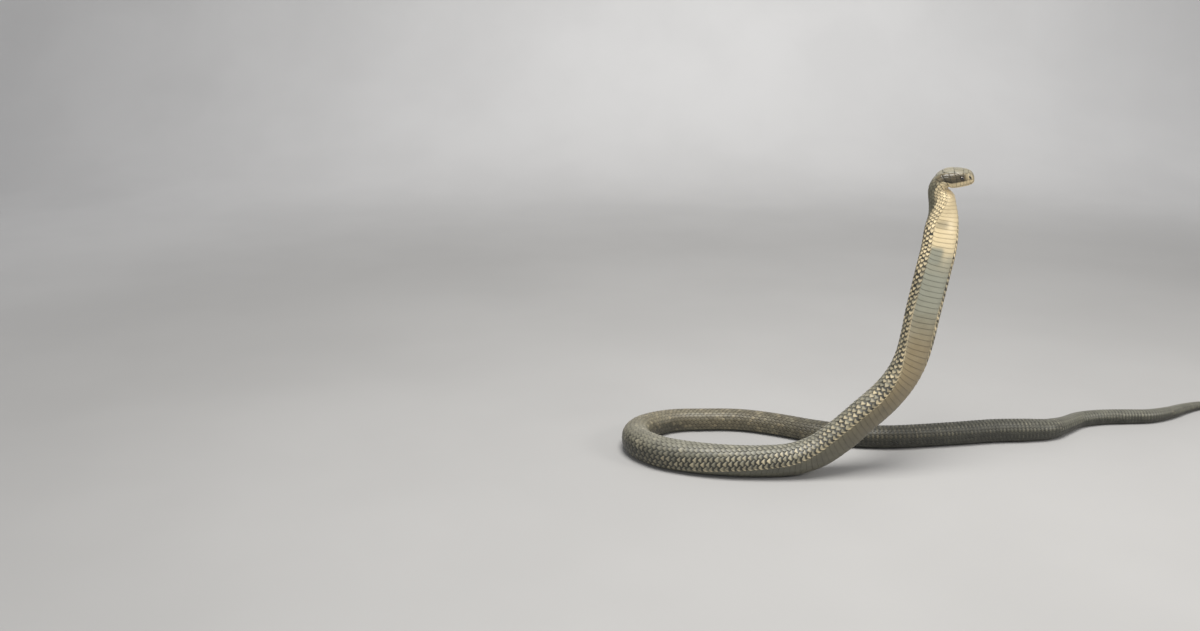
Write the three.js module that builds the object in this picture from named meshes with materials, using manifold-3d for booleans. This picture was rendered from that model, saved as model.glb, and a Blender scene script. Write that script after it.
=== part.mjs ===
// King cobra, life size, in millimetres, +Z up.
// It rests on its belly in one open loop, lifts the front third of its body with the
// belly turned to the front, and holds its head level and turned to the right.
// Origin: the middle of its ground plan, on the floor.

import * as THREE from 'three';
import { mergeVertices } from 'three/addons/utils/BufferGeometryUtils.js';
import Module from 'manifold-3d';

const wasm = await Module();
wasm.setup();

// Driving dimensions
const GAP = 0.3;
const HEAD_STRAIGHT = 43;
const NAPE_LENGTH = 50;
const NAPE_TURN = 84;
const SNOUT = new THREE.Vector3(-96, -107, 682);
const HEAD_AXIS = new THREE.Vector3(0.95, -0.27, 0.105).normalize();
const HEAD_ROLL = 13;
const NAPE_ROLL = -14;
const STATION_PITCH = 10;
const UP = [0, 0, 1];

const BODY_ROUNDNESS = 2.15;
const BELLY_ROUNDNESS = 2.5;
const CROWN_ROUNDNESS = 2.7;
const JAW_ROUNDNESS = 2.4;

// Route of the spine behind the nape: x, y, z, then the way the back faces
const ROUTE = [
  [-163, -88.6, 633, -0.83, 0.55, -0.05],
  [-158.5, -91.6, 615, -0.7, 0.7, -0.1],
  [-156.3, -98, 588, -0.45, 0.88, -0.15],
  [-160, -107, 556, -0.25, 0.95, -0.2],
  [-165.5, -116, 515, -0.22, 0.96, -0.17],
  [-176, -125, 470, -0.18, 0.97, -0.15],
  [-187, -134, 420, -0.1, 0.98, -0.16],
  [-198, -143, 370, 0, 0.98, -0.19],
  [-208, -153, 320, 0, 0.98, -0.2],
  [-222, -163, 271, -0.16, 0.98, -0.13],
  [-245.5, -172, 225, -0.38, 0.92, 0.07],
  [-281.5, -181, 182, -0.43, 0.87, 0.25],
  [-329.5, -190, 140, -0.4, 0.87, 0.29],
  [-379, -198, 97, -0.32, 0.9, 0.3],
  [-434, -204, 59, -0.25, 0.86, 0.43],
  [-493, -208, 39.5, -0.12, 0.75, 0.66],
  [-568, -208, 34, 0, 0.62, 0.78],
  [-648, -201, 34, 0.05, 0.42, 0.9],
  [-728, -180, 33.5, 0.05, 0.17, 0.98],
  [-795, -146, 33, ...UP],
  [-840, -91, 32, ...UP],
  [-847, -27, 29.5, ...UP],
  [-818, 31, 27.5, ...UP],
  [-753, 72, 26, ...UP],
  [-668, 83, 25, ...UP],
  [-578, 80, 25, ...UP],
  [-491, 50, 25, ...UP],
  [-403, 5, 25, ...UP],
  [-313, -27, 25, ...UP],
  [-223, -35, 25, ...UP],
  [-133, -25, 25, ...UP],
  [-43, -11, 25.2, ...UP],
  [47, 4, 25.5, ...UP],
  [127, 10, 25, ...UP],
  [192, 21, 22.8, ...UP],
  [247, 57, 19, ...UP],
  [302, 97, 18, ...UP],
  [367, 117, 17.5, ...UP],
  [437, 123, 17, ...UP],
  [502, 129, 16, ...UP],
  [567, 157, 14.3, ...UP],
  [624, 193, 12.2, ...UP],
  [684, 223, 9.8, ...UP],
  [747, 235, 7.6, ...UP],
  [812, 232, 5.3, ...UP],
  [877, 224, 2.8, ...UP],
];

// Girth: distance from the snout, half width, height of the back and depth of the
// belly from the spine's line
const GIRTH = [
  [0, 0, -6, 6],
  [1.2, 8.5, 3, 10.5],
  [4, 13.5, 9.5, 13.2],
  [9, 18, 14, 15.5],
  [16, 21.5, 17, 17],
  [26, 24.8, 19.3, 18.3],
  [38, 27.5, 20.7, 19.2],
  [50, 30, 21.6, 18.4],
  [58, 31, 22, 16.8],
  [74, 31.3, 22.5, 16],
  [84, 30.8, 23, 17.6],
  [96, 31, 23.5, 24.5],
  [107, 31.5, 24, 30],
  [122, 33.5, 25, 28.5],
  [156, 38, 24, 24.5],
  [200, 41, 24, 24],
  [250, 41.5, 24, 24],
  [330, 40, 25.5, 25.5],
  [430, 38, 29, 29],
  [490, 37, 31, 31],
  [600, 37, 35, 35],
  [700, 37.5, 36, 36],
  [860, 38.3, 36, 36],
  [1000, 38, 36, 36],
  [1150, 37.2, 35, 35],
  [1250, 36, 33.5, 33.5],
  [1310, 34, 31.5, 31.5],
  [1380, 32, 29, 29],
  [1455, 29.8, 27.3, 27.3],
  [1540, 29, 26.3, 26.3],
  [1900, 29.8, 26.3, 26.3],
  [2190, 31, 26.5, 26.5],
  [2290, 31, 27, 27],
  [2360, 30, 26.5, 26.5],
  [2430, 26.5, 24, 24],
  [2495, 21.5, 20, 20],
  [2560, 20, 19, 19],
  [2700, 19, 18, 18],
  [2770, 17.8, 17, 17],
  [2840, 15.8, 15, 15],
  [2905, 13.3, 12.8, 12.8],
  [2970, 10.8, 10.4, 10.4],
  [3035, 8.4, 8, 8],
  [3100, 5.8, 5.6, 5.6],
  [3150, 3.6, 3.4, 3.4],
];

// Head lines: distance from the snout, height of the widest line, height of the mouth
const HEAD_LINES = [
  [0, -6, -6],
  [9, -4.5, -8],
  [26, -3, -10],
  [50, -1.5, -12.4],
  [56, -1, -11.4],
  [61, -0.5, -9.2],
  [66, 0, -6],
  [71, 0, -2.2],
  [77, 0, 0.6],
  [84, 0, 1.2],
  [120, 0, 1.2],
];

// Spine: the straight of the head, the gradual bend of the nape, then the route
const SPINE_STEP = 0.5;

function headPoints() {
  const crown = new THREE.Vector3(0, 0, 1).addScaledVector(HEAD_AXIS, -HEAD_AXIS.z).normalize();
  const side = new THREE.Vector3().crossVectors(HEAD_AXIS, crown);
  const place = SNOUT.clone();
  const points = [];
  for (let d = 0; d <= HEAD_STRAIGHT + NAPE_LENGTH; d += SPINE_STEP) {
    const bent = THREE.MathUtils.smoothstep(d, HEAD_STRAIGHT, HEAD_STRAIGHT + NAPE_LENGTH);
    const turn = THREE.MathUtils.degToRad(NAPE_TURN * bent);
    const roll = THREE.MathUtils.degToRad(THREE.MathUtils.lerp(HEAD_ROLL, NAPE_ROLL, bent));
    if (d % STATION_PITCH === 0) {
      const back = crown.clone().multiplyScalar(Math.cos(turn) * Math.cos(roll))
        .addScaledVector(HEAD_AXIS, -Math.sin(turn) * Math.cos(roll))
        .addScaledVector(side, Math.sin(roll));
      points.push([...place, ...back]);
    }
    place.addScaledVector(HEAD_AXIS, -SPINE_STEP * Math.cos(turn));
    place.addScaledVector(crown, -SPINE_STEP * Math.sin(turn));
  }
  return points;
}

const stations = [...headPoints(), ...ROUTE];
const spine = smoothCurve(stations.map((row) => new THREE.Vector3(row[0], row[1], row[2])));
const facing = smoothCurve(stations.map((row) => new THREE.Vector3(row[3], row[4], row[5])));
const SAMPLES = 8000;
const travelled = spine.getLengths(SAMPLES);
const LENGTH = travelled[SAMPLES];

function smoothCurve(points) {
  return new THREE.CatmullRomCurve3(points, false, 'catmullrom', 0.5);
}

// The curve's own parameter at a distance from the snout
function parameterAt(distance) {
  let low = 0;
  let high = SAMPLES;
  while (high - low > 1) {
    const middle = (low + high) >> 1;
    if (travelled[middle] > distance) high = middle;
    else low = middle;
  }
  const share = (distance - travelled[low]) / (travelled[high] - travelled[low]);
  return (low + share) / SAMPLES;
}

// A smooth reading of one column of a table
function read(table, column, distance) {
  const last = table.length - 1;
  if (distance <= table[0][0]) return table[0][column];
  if (distance >= table[last][0]) return table[last][column];
  let i = 0;
  while (table[i + 1][0] < distance) i += 1;
  const slope = (j) => {
    const before = table[Math.max(j - 1, 0)];
    const after = table[Math.min(j + 1, last)];
    return (after[column] - before[column]) / (after[0] - before[0]);
  };
  const span = table[i + 1][0] - table[i][0];
  const w = (distance - table[i][0]) / span;
  return table[i][column] * (1 + 2 * w) * (1 - w) ** 2
    + table[i + 1][column] * w * w * (3 - 2 * w)
    + span * (slope(i) * w * (1 - w) ** 2 + slope(i + 1) * w * w * (w - 1));
}

// The frame of the body at a distance from the snout
function frameAt(distance) {
  const t = parameterAt(distance);
  const along = spine.getTangent(t);
  const back = facing.getPoint(t);
  back.addScaledVector(along, -back.dot(along)).normalize();
  return {
    centre: spine.getPoint(t),
    along,
    back,
    side: new THREE.Vector3().crossVectors(along, back),
    width: read(GIRTH, 1, distance),
    top: read(GIRTH, 2, distance),
    bottom: -read(GIRTH, 3, distance),
    middle: read(HEAD_LINES, 1, distance),
    mouth: read(HEAD_LINES, 2, distance),
  };
}

function power(value, roundness) {
  return Math.sign(value) * Math.abs(value) ** (2 / roundness);
}

// The head's section turns into the body's over the neck
const HEAD_SECTION_END = 80;
const BODY_SECTION_START = 150;

function blend(distance, onBody, onHead) {
  return THREE.MathUtils.lerp(onHead, onBody,
    THREE.MathUtils.smoothstep(distance, HEAD_SECTION_END, BODY_SECTION_START));
}

// A point of the skin: angle 0 on the back, 180 under the belly, lift outwards
function skinPoint(frame, distance, degrees, lift = 0) {
  const angle = THREE.MathUtils.degToRad(degrees);
  const roundness = Math.cos(angle) > 0
    ? blend(distance, BODY_ROUNDNESS, CROWN_ROUNDNESS)
    : blend(distance, BELLY_ROUNDNESS, JAW_ROUNDNESS);
  const rise = Math.cos(angle) > 0 ? frame.top - frame.middle : frame.middle - frame.bottom;
  const across = (frame.width + lift) * power(Math.sin(angle), roundness);
  const height = frame.middle + (rise + lift) * power(Math.cos(angle), roundness);
  const point = frame.centre.clone()
    .addScaledVector(frame.side, across)
    .addScaledVector(frame.back, height);
  point.z = Math.max(point.z, 0);
  return point;
}

function ring(distance, angles, lift = () => 0) {
  const frame = frameAt(distance);
  return angles.map((degrees) => skinPoint(frame, distance, degrees, lift(degrees)));
}

// One closed body through rings of points, with a flat or pointed end at each side
function loft(rings, startPoint, endPoint) {
  const count = rings[0].length;
  const average = (points) => points.reduce((sum, p) => sum.add(p), new THREE.Vector3())
    .divideScalar(points.length);
  const points = rings.flat();
  const start = points.push(startPoint ?? average(rings[0])) - 1;
  const end = points.push(endPoint ?? average(rings.at(-1))) - 1;
  const faces = [];
  for (let k = 0; k < count; k += 1) {
    const next = (k + 1) % count;
    faces.push(start, next, k);
    const last = (rings.length - 1) * count;
    faces.push(end, last + k, last + next);
    for (let r = 0; r + 1 < rings.length; r += 1) {
      const here = r * count;
      const there = here + count;
      faces.push(here + k, here + next, there + k);
      faces.push(here + next, there + next, there + k);
    }
  }
  const geometry = new THREE.BufferGeometry();
  geometry.setAttribute('position', new THREE.Float32BufferAttribute(
    points.flatMap((p) => [p.x, p.y, p.z]), 3));
  geometry.setIndex(faces);
  return geometry;
}

function toManifold(geometry) {
  const clean = geometry.clone();
  clean.deleteAttribute('normal');
  clean.deleteAttribute('uv');
  const merged = mergeVertices(clean, 1e-4);
  return new wasm.Manifold(new wasm.Mesh({
    numProp: 3,
    vertProperties: new Float32Array(merged.attributes.position.array),
    triVerts: new Uint32Array(merged.index.array),
  }));
}

function fromManifold(solid) {
  const pieces = solid.decompose().sort((a, b) => b.volume() - a.volume());
  const mesh = pieces[0].getMesh();
  const geometry = new THREE.BufferGeometry();
  geometry.setAttribute('position', new THREE.BufferAttribute(mesh.vertProperties, 3));
  geometry.setIndex(new THREE.BufferAttribute(mesh.triVerts, 1));
  return geometry;
}

// Belly scutes: how far round they reach, how high their rear edge stands, its slope
const SCUTE_HALF_ANGLE = 54;
const SCUTE_RISE = 0.9;
const SCUTE_STEP = 0.8;

// Angles round the body, closer together at the edges of the belly scutes
const BODY_ANGLES = mirrored([20, 40, 60, 80, 100, 118, 127, 145, 163]);
const TAIL_ANGLES = mirrored([30, 60, 90, 118, 127, 154]);

function mirrored(half) {
  return [0, ...half, 180, ...half.toReversed().map((angle) => 360 - angle)];
}

function steps(from, to, pitch) {
  const count = Math.max(1, Math.round((to - from) / pitch));
  return Array.from({ length: count + 1 }, (_, i) => from + ((to - from) * i) / count);
}

// Rings of a stretch whose belly is stepped: each scute rises towards its free rear
// edge and drops to the front edge of the next one
function scutedRings(from, to, pitch, angles) {
  const raised = (degrees) => (Math.abs(degrees - 180) < SCUTE_HALF_ANGLE ? SCUTE_RISE : 0);
  const rings = [ring(from, angles)];
  steps(from, to, pitch).slice(1).forEach((rear) => {
    rings.push(ring(rear - SCUTE_STEP, angles, raised));
    rings.push(ring(rear, angles));
  });
  const shift = frameAt(from).along.multiplyScalar(GAP);
  rings[0].forEach((point) => point.add(shift));
  return rings;
}

// Head: the mouth line runs along rows of points that meet at the front of the snout
const HEAD_END = 118;
const MOUTH_START = 12;
const MOUTH_FADE = 62;
const MOUTH_END = 71;
const LIP = 1.2;
const LIP_MOST = 0.12;
const MOUTH_DEPTH = 1.2;
const JAW_SINK = 0.4;
const UPPER_ROWS = 10;
const LOWER_ROWS = 6;

// The angle of the mouth line, never far from the widest line nor under the chin
function mouthAngle(frame, distance) {
  const share = (frame.middle - frame.mouth) / (frame.middle - frame.bottom);
  const below = THREE.MathUtils.clamp(share, 0, 0.95);
  const roundness = blend(distance, BELLY_ROUNDNESS, JAW_ROUNDNESS);
  return 180 - THREE.MathUtils.radToDeg(Math.acos(below ** (roundness / 2)));
}

function headRing(distance) {
  const frame = frameAt(distance);
  const mouth = mouthAngle(frame, distance);
  const lip = THREE.MathUtils.radToDeg(Math.min(LIP / frame.width, LIP_MOST));
  const groove = MOUTH_DEPTH * THREE.MathUtils.smoothstep(distance, 0, MOUTH_START)
    * (1 - THREE.MathUtils.smoothstep(distance, MOUTH_FADE, MOUTH_END));
  const half = [];
  for (let i = 1; i <= UPPER_ROWS; i += 1) half.push([((mouth - lip) * i) / UPPER_ROWS, 0]);
  half.push([mouth, -groove]);
  for (let i = 0; i < LOWER_ROWS; i += 1) {
    half.push([mouth + lip + ((180 - mouth - lip) * i) / LOWER_ROWS, -JAW_SINK * groove]);
  }
  const whole = [[0, 0], ...half, [180, -JAW_SINK * groove],
    ...half.toReversed().map(([angle, lift]) => [360 - angle, lift])];
  return whole.map(([angle, lift]) => skinPoint(frame, distance, angle, lift));
}

const HEAD_RINGS = [1.2, 2.5, 4.5, 7, 10, 14, ...steps(19, 52, 6), ...steps(56, 92, 4),
  98, 107, HEAD_END];

function headSolid() {
  const rings = HEAD_RINGS.map(headRing);
  const nose = frameAt(0);
  const tip = nose.centre.clone().addScaledVector(nose.back, nose.middle);
  return loft(rings, tip);
}

// Shields of the crown, each from the snout back: front and rear distance, then how
// far its inner and outer edges lie from the midline at the front and at the rear
const CROWN_SHIELDS = [
  ['internasal', 4.5, 11.5, 0.4, 8, 0.4, 9.5],
  ['prefrontal', 12.2, 21.5, 0.4, 12, 0.4, 13.5],
  ['frontal', 22.2, 42, 0, 6.2, 0, 3.6],
  ['supraocular', 22.2, 41, 7, 17, 4.6, 14.5],
  ['parietal', 42, 58, 0.4, 14, 0.4, 18],
  ['occipital', 58.5, 66, 0.4, 12, 0.4, 11],
];
const SHIELD_RISE = 0.7;
const SHIELD_DOME = 0.35;
const SHIELD_SINK = 1.6;
const SHIELD_CUTS = 3;

// The angle at which the crown lies a given distance from its midline
function angleAcross(frame, across) {
  const share = Math.min(across / frame.width, 0.99);
  return THREE.MathUtils.radToDeg(Math.asin(share ** (CROWN_ROUNDNESS / 2)));
}

// A plate on the head between four corners, each a distance and an angle, its middle
// a little higher than its edges and its root sunk into the head
function plate(corners, rows, columns, rise) {
  const top = [];
  const root = [];
  for (let u = 0; u <= rows; u += 1) {
    for (let v = 0; v <= columns; v += 1) {
      const [a, b] = [u / rows, v / columns];
      const mix = (k) => (1 - a) * ((1 - b) * corners[0][k] + b * corners[1][k])
        + a * ((1 - b) * corners[3][k] + b * corners[2][k]);
      const frame = frameAt(mix(0));
      const dome = SHIELD_DOME * (Math.sin(Math.PI * a) * Math.sin(Math.PI * b) - 1);
      top.push(skinPoint(frame, mix(0), mix(1), rise * (1 + dome)));
      root.push(skinPoint(frame, mix(0), mix(1), -SHIELD_SINK));
    }
  }
  const at = (u, v) => u * (columns + 1) + v;
  const faces = [];
  const side = (p, q) => faces.push(q, p, p + top.length, q, p + top.length, q + top.length);
  for (let u = 0; u < rows; u += 1) {
    for (let v = 0; v < columns; v += 1) {
      const [p, q, r, s] = [at(u, v), at(u, v + 1), at(u + 1, v + 1), at(u + 1, v)];
      faces.push(p, q, s, q, r, s);
      faces.push(...[p, s, q, q, s, r].map((index) => index + top.length));
    }
  }
  for (let v = 0; v < columns; v += 1) {
    side(at(0, v), at(0, v + 1));
    side(at(rows, v + 1), at(rows, v));
  }
  for (let u = 0; u < rows; u += 1) {
    side(at(u, columns), at(u + 1, columns));
    side(at(u + 1, 0), at(u, 0));
  }
  const geometry = new THREE.BufferGeometry();
  geometry.setAttribute('position', new THREE.Float32BufferAttribute(
    [...top, ...root].flatMap((p) => [p.x, p.y, p.z]), 3));
  geometry.setIndex(faces);
  return geometry;
}

// Corners in the order that keeps a plate's face outwards on either side of the head
function cornersOn(side, front, rear, inFront, outFront, inRear, outRear) {
  const corners = [[front, inFront], [front, outFront], [rear, outRear], [rear, inRear]];
  if (side > 0) return corners;
  const mirror = ([distance, degrees]) => [distance, 360 - degrees];
  return [mirror(corners[1]), mirror(corners[0]), mirror(corners[3]), mirror(corners[2])];
}

function crownShields() {
  const plates = [];
  for (const [name, front, rear, inFront, outFront, inRear, outRear] of CROWN_SHIELDS) {
    const [atFront, atRear] = [frameAt(front), frameAt(rear)];
    const angles = [
      angleAcross(atFront, inFront), angleAcross(atFront, outFront),
      angleAcross(atRear, inRear), angleAcross(atRear, outRear),
    ];
    if (name === 'frontal') {
      const corners = [
        [front, -angles[1]], [front, angles[1]], [rear, angles[3]], [rear, -angles[3]]];
      plates.push(plate(corners, SHIELD_CUTS, SHIELD_CUTS, SHIELD_RISE));
    } else {
      for (const side of [1, -1]) {
        const corners = cornersOn(side, front, rear, ...angles);
        plates.push(plate(corners, SHIELD_CUTS, SHIELD_CUTS, SHIELD_RISE));
      }
    }
  }
  return plates;
}

// Lip scales of each side, one row above the mouth and one below: first and last
// distance, then how far its two edges lie from the mouth line, down being positive
const LIP_ROWS = [
  [4, 60, -9.5, -1.8],
  [5, 58, 1.9, 7],
];
const LIP_SCALES = 7;
const LIP_SCALE_GAP = 0.7;
const LIP_SCALE_RISE = 0.56;
const LIP_SCALE_CUTS = 2;

function lipScales() {
  const plates = [];
  for (const [first, last, inner, outer] of LIP_ROWS) {
    const edges = steps(first, last, (last - first) / LIP_SCALES);
    for (let i = 0; i < LIP_SCALES; i += 1) {
      const front = edges[i] + LIP_SCALE_GAP / 2;
      const rear = edges[i + 1] - LIP_SCALE_GAP / 2;
      const angles = [front, rear].flatMap((distance) => {
        const frame = frameAt(distance);
        const mouth = mouthAngle(frame, distance);
        const room = Math.min(1, distance / MOUTH_START) / frame.width;
        return [inner, outer].map((away) => mouth + THREE.MathUtils.radToDeg(away * room));
      });
      for (const side of [1, -1]) {
        const corners = cornersOn(side, front, rear, ...angles);
        plates.push(plate(corners, LIP_SCALE_CUTS, LIP_SCALE_CUTS, LIP_SCALE_RISE));
      }
    }
  }
  return plates;
}

// Nostrils: a small hollow high on each side of the snout
const NOSTRIL_RADIUS = 1.7;
const NOSTRIL_DISTANCE = 9;
const NOSTRIL_ANGLE = 66;
const NOSTRIL_LIFT = 0.4;

// Eyes: balls set into the sides of the head
const EYE_RADIUS = 5.4;
const EYE_DISTANCE = 27;
const EYE_ANGLE = 71;
const EYE_SINK = 3.4;

function eyeCentre(side) {
  const frame = frameAt(EYE_DISTANCE);
  const angle = side > 0 ? EYE_ANGLE : 360 - EYE_ANGLE;
  return skinPoint(frame, EYE_DISTANCE, angle, -EYE_SINK);
}

function ball(radius, centre) {
  return new THREE.SphereGeometry(radius, 16, 11).translate(centre.x, centre.y, centre.z);
}

function head() {
  let solid = toManifold(headSolid());
  for (const shape of [...crownShields(), ...lipScales()]) {
    solid = solid.add(toManifold(shape));
  }
  for (const side of [1, -1]) {
    solid = solid.subtract(toManifold(ball(EYE_RADIUS + GAP, eyeCentre(side))));
    const angle = side > 0 ? NOSTRIL_ANGLE : 360 - NOSTRIL_ANGLE;
    const nostril = skinPoint(frameAt(NOSTRIL_DISTANCE), NOSTRIL_DISTANCE, angle, NOSTRIL_LIFT);
    const drill = new THREE.SphereGeometry(NOSTRIL_RADIUS, 10, 7);
    solid = solid.subtract(toManifold(drill.translate(nostril.x, nostril.y, nostril.z)));
  }
  return fromManifold(solid);
}

// Tail tip: the last length closes in a point
const TIP_LENGTH = 4;

function tailTip(start, pitch) {
  const rings = scutedRings(start, LENGTH - TIP_LENGTH, pitch, TAIL_ANGLES);
  return loft(rings, undefined, frameAt(LENGTH).centre);
}

// Finishes
const olive = new THREE.MeshStandardMaterial({ color: 0x6f6a4f, roughness: 0.55, metalness: 0 });
const paleNeck = new THREE.MeshStandardMaterial({ color: 0xb7a877, roughness: 0.55, metalness: 0 });
const darkTail = new THREE.MeshStandardMaterial({ color: 0x4c4b40, roughness: 0.55, metalness: 0 });
const eyeGloss = new THREE.MeshStandardMaterial({ color: 0x1c130a, roughness: 0.08, metalness: 0 });

const group = new THREE.Group();

function add(name, geometry, material) {
  const mesh = new THREE.Mesh(geometry, material);
  mesh.name = name;
  group.add(mesh);
}

// Lengths of the body: name, end distance from the snout, scute pitch, finish
const TAIL_PITCH = 24;
const LENGTHS = [
  ['neck', 330, 15, paleNeck],
  ['forebody_upper', 600, 15, olive],
  ['forebody_lower', 880, 15.5, olive],
  ['midbody_front', 1130, 31, olive],
  ['bend_near', 1265, 22, olive],
  ['bend_far', 1470, 23, olive],
  ['midbody_rear', 1780, 31, olive],
  ['hindbody_front', 2090, 31, olive],
  ['hindbody_rear', 2480, 30, olive],
  ['tail_base', 2720, TAIL_PITCH, darkTail],
  ['tail_middle', 2960, TAIL_PITCH, darkTail],
];

add('head', head(), olive);
add('eye_left', ball(EYE_RADIUS, eyeCentre(1)), eyeGloss);
add('eye_right', ball(EYE_RADIUS, eyeCentre(-1)), eyeGloss);
let start = HEAD_END;
for (const [name, end, pitch, finish] of LENGTHS) {
  const angles = name.startsWith('tail') ? TAIL_ANGLES : BODY_ANGLES;
  add(name, loft(scutedRings(start, end, pitch, angles)), finish);
  start = end;
}
add('tail_tip', tailTip(start, TAIL_PITCH), darkTail);

export default group;
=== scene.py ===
import math

import bpy
import numpy as np
from bpy.props import FloatProperty, FloatVectorProperty, IntProperty, PointerProperty
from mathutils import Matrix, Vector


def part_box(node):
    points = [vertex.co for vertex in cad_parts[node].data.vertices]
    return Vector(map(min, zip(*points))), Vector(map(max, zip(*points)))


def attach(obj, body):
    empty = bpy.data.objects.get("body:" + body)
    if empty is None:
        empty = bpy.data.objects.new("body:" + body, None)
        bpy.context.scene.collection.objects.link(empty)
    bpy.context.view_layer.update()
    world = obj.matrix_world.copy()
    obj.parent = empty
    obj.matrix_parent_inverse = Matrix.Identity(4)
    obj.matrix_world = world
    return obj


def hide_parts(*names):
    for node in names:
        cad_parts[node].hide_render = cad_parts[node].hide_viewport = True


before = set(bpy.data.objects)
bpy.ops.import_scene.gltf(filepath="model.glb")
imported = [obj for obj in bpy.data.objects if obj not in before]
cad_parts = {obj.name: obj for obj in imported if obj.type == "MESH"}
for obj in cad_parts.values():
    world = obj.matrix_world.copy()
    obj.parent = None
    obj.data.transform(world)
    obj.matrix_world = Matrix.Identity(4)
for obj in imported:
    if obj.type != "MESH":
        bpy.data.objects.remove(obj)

bl_info = {
    "name": "King Cobra",
    "version": (1, 0, 0),
    "blender": (4, 5, 0),
    "location": "View3D > Sidebar > King Cobra",
    "description": "Skin, scales, scutes, head shields and eyes of a life-size king cobra",
    "category": "Add Mesh",
}

# Everything about the shape is in millimetres, and the finished meshes are in metres
MM = 0.001
UP = (0.0, 0.0, 1.0)

# The head's line: the snout's tip, the way the head points, and the bend of the nape behind it
SNOUT = (-96.0, -107.0, 682.0)
HEAD_AXIS = (0.95, -0.27, 0.105)
HEAD_STRAIGHT = 43.0
NAPE_LENGTH = 50.0
NAPE_TURN = 84.0
HEAD_ROLL = 13.0
NAPE_ROLL = -14.0
STATION_PITCH = 10
SPINE_STEP = 0.5

# The body's line from the nape to the tail: a place, and the way its back faces there
ROUTE = [
    (-163, -88.6, 633, -0.83, 0.55, -0.05),
    (-158.5, -91.6, 615, -0.7, 0.7, -0.1),
    (-156.3, -98, 588, -0.45, 0.88, -0.15),
    (-160, -107, 556, -0.25, 0.95, -0.2),
    (-165.5, -116, 515, -0.22, 0.96, -0.17),
    (-176, -125, 470, -0.18, 0.97, -0.15),
    (-187, -134, 420, -0.1, 0.98, -0.16),
    (-198, -143, 370, 0, 0.98, -0.19),
    (-208, -153, 320, 0, 0.98, -0.2),
    (-222, -163, 271, -0.16, 0.98, -0.13),
    (-245.5, -172, 225, -0.38, 0.92, 0.07),
    (-281.5, -181, 182, -0.43, 0.87, 0.25),
    (-329.5, -190, 140, -0.4, 0.87, 0.29),
    (-379, -198, 97, -0.32, 0.9, 0.3),
    (-434, -204, 59, -0.25, 0.86, 0.43),
    (-493, -208, 39.5, -0.12, 0.75, 0.66),
    (-568, -208, 34, 0, 0.62, 0.78),
    (-648, -201, 34, 0.05, 0.42, 0.9),
    (-728, -180, 33.5, 0.05, 0.17, 0.98),
    (-795, -146, 33, *UP),
    (-840, -91, 32, *UP),
    (-847, -27, 29.5, *UP),
    (-818, 31, 27.5, *UP),
    (-753, 72, 26, *UP),
    (-668, 83, 25, *UP),
    (-578, 80, 25, *UP),
    (-491, 50, 25, *UP),
    (-403, 5, 25, *UP),
    (-313, -27, 25, *UP),
    (-223, -35, 25, *UP),
    (-133, -25, 25, *UP),
    (-43, -11, 25.2, *UP),
    (47, 4, 25.5, *UP),
    (127, 10, 25, *UP),
    (192, 21, 22.8, *UP),
    (247, 57, 19, *UP),
    (302, 97, 18, *UP),
    (367, 117, 17.5, *UP),
    (437, 123, 17, *UP),
    (502, 129, 16, *UP),
    (567, 157, 14.3, *UP),
    (624, 193, 12.2, *UP),
    (684, 223, 9.8, *UP),
    (747, 235, 7.6, *UP),
    (812, 232, 5.3, *UP),
    (877, 224, 2.8, *UP),
]

# Girth: distance from the snout's tip, half width, height of the back, depth of the belly
GIRTH = [
    (0, 0, -6, 6), (1.2, 8.5, 3, 10.5), (4, 13.5, 9.5, 13.2), (9, 18, 14, 15.5),
    (16, 21.5, 17, 17), (26, 24.8, 19.3, 18.3), (38, 27.5, 20.7, 19.2), (50, 30, 21.6, 18.4),
    (58, 31, 22, 16.8), (74, 31.3, 22.5, 16), (84, 30.8, 23, 17.6), (96, 31, 23.5, 24.5),
    (107, 31.5, 24, 30), (122, 33.5, 25, 28.5), (156, 38, 24, 24.5), (200, 41, 24, 24),
    (250, 41.5, 24, 24), (330, 40, 25.5, 25.5), (430, 38, 29, 29), (490, 37, 31, 31),
    (600, 37, 35, 35), (700, 37.5, 36, 36), (860, 38.3, 36, 36), (1000, 38, 36, 36),
    (1150, 37.2, 35, 35), (1250, 36, 33.5, 33.5), (1310, 34, 31.5, 31.5), (1380, 32, 29, 29),
    (1455, 29.8, 27.3, 27.3), (1540, 29, 26.3, 26.3), (1900, 29.8, 26.3, 26.3),
    (2190, 31, 26.5, 26.5), (2290, 31, 27, 27), (2360, 30, 26.5, 26.5), (2430, 26.5, 24, 24),
    (2495, 21.5, 20, 20), (2560, 20, 19, 19), (2700, 19, 18, 18), (2770, 17.8, 17, 17),
    (2840, 15.8, 15, 15), (2905, 13.3, 12.8, 12.8), (2970, 10.8, 10.4, 10.4), (3035, 8.4, 8, 8),
    (3100, 5.8, 5.6, 5.6), (3150, 3.6, 3.4, 3.4),
]

# Height of the widest line and of the mouth line, by distance from the snout's tip
HEAD_LINES = [
    (0, -6, -6), (9, -4.5, -8), (26, -3, -10), (50, -1.5, -12.4), (56, -1, -11.4), (61, -0.5, -9.2),
    (66, 0, -6), (71, 0, -2.2), (77, 0, 0.6), (84, 0, 1.2), (120, 0, 1.2),
]

# How square the cross-section is, 2 being an ellipse, and where the head's turns into the body's
BODY_ROUNDNESS = 2.15
BELLY_ROUNDNESS = 2.5
CROWN_ROUNDNESS = 2.7
JAW_ROUNDNESS = 2.4
HEAD_FADE = (80, 150)

VENT = 2480
VENTRAL_SHARE = 0.30
# The eye's distance from the snout, its angle and way round from the crown, and its opening as a
# share of the eyeball's radius
EYE_DISTANCE = 27
EYE_ANGLE = 71
EYE_AROUND = 29.5
EYE_OPENING = 0.88
NOSTRIL = (9, 20.6)
NOSTRIL_RADIUS = 1.7
MOUTH_FADE = (62, 71)
MOUTH_LOWEST = 0.95


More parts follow.
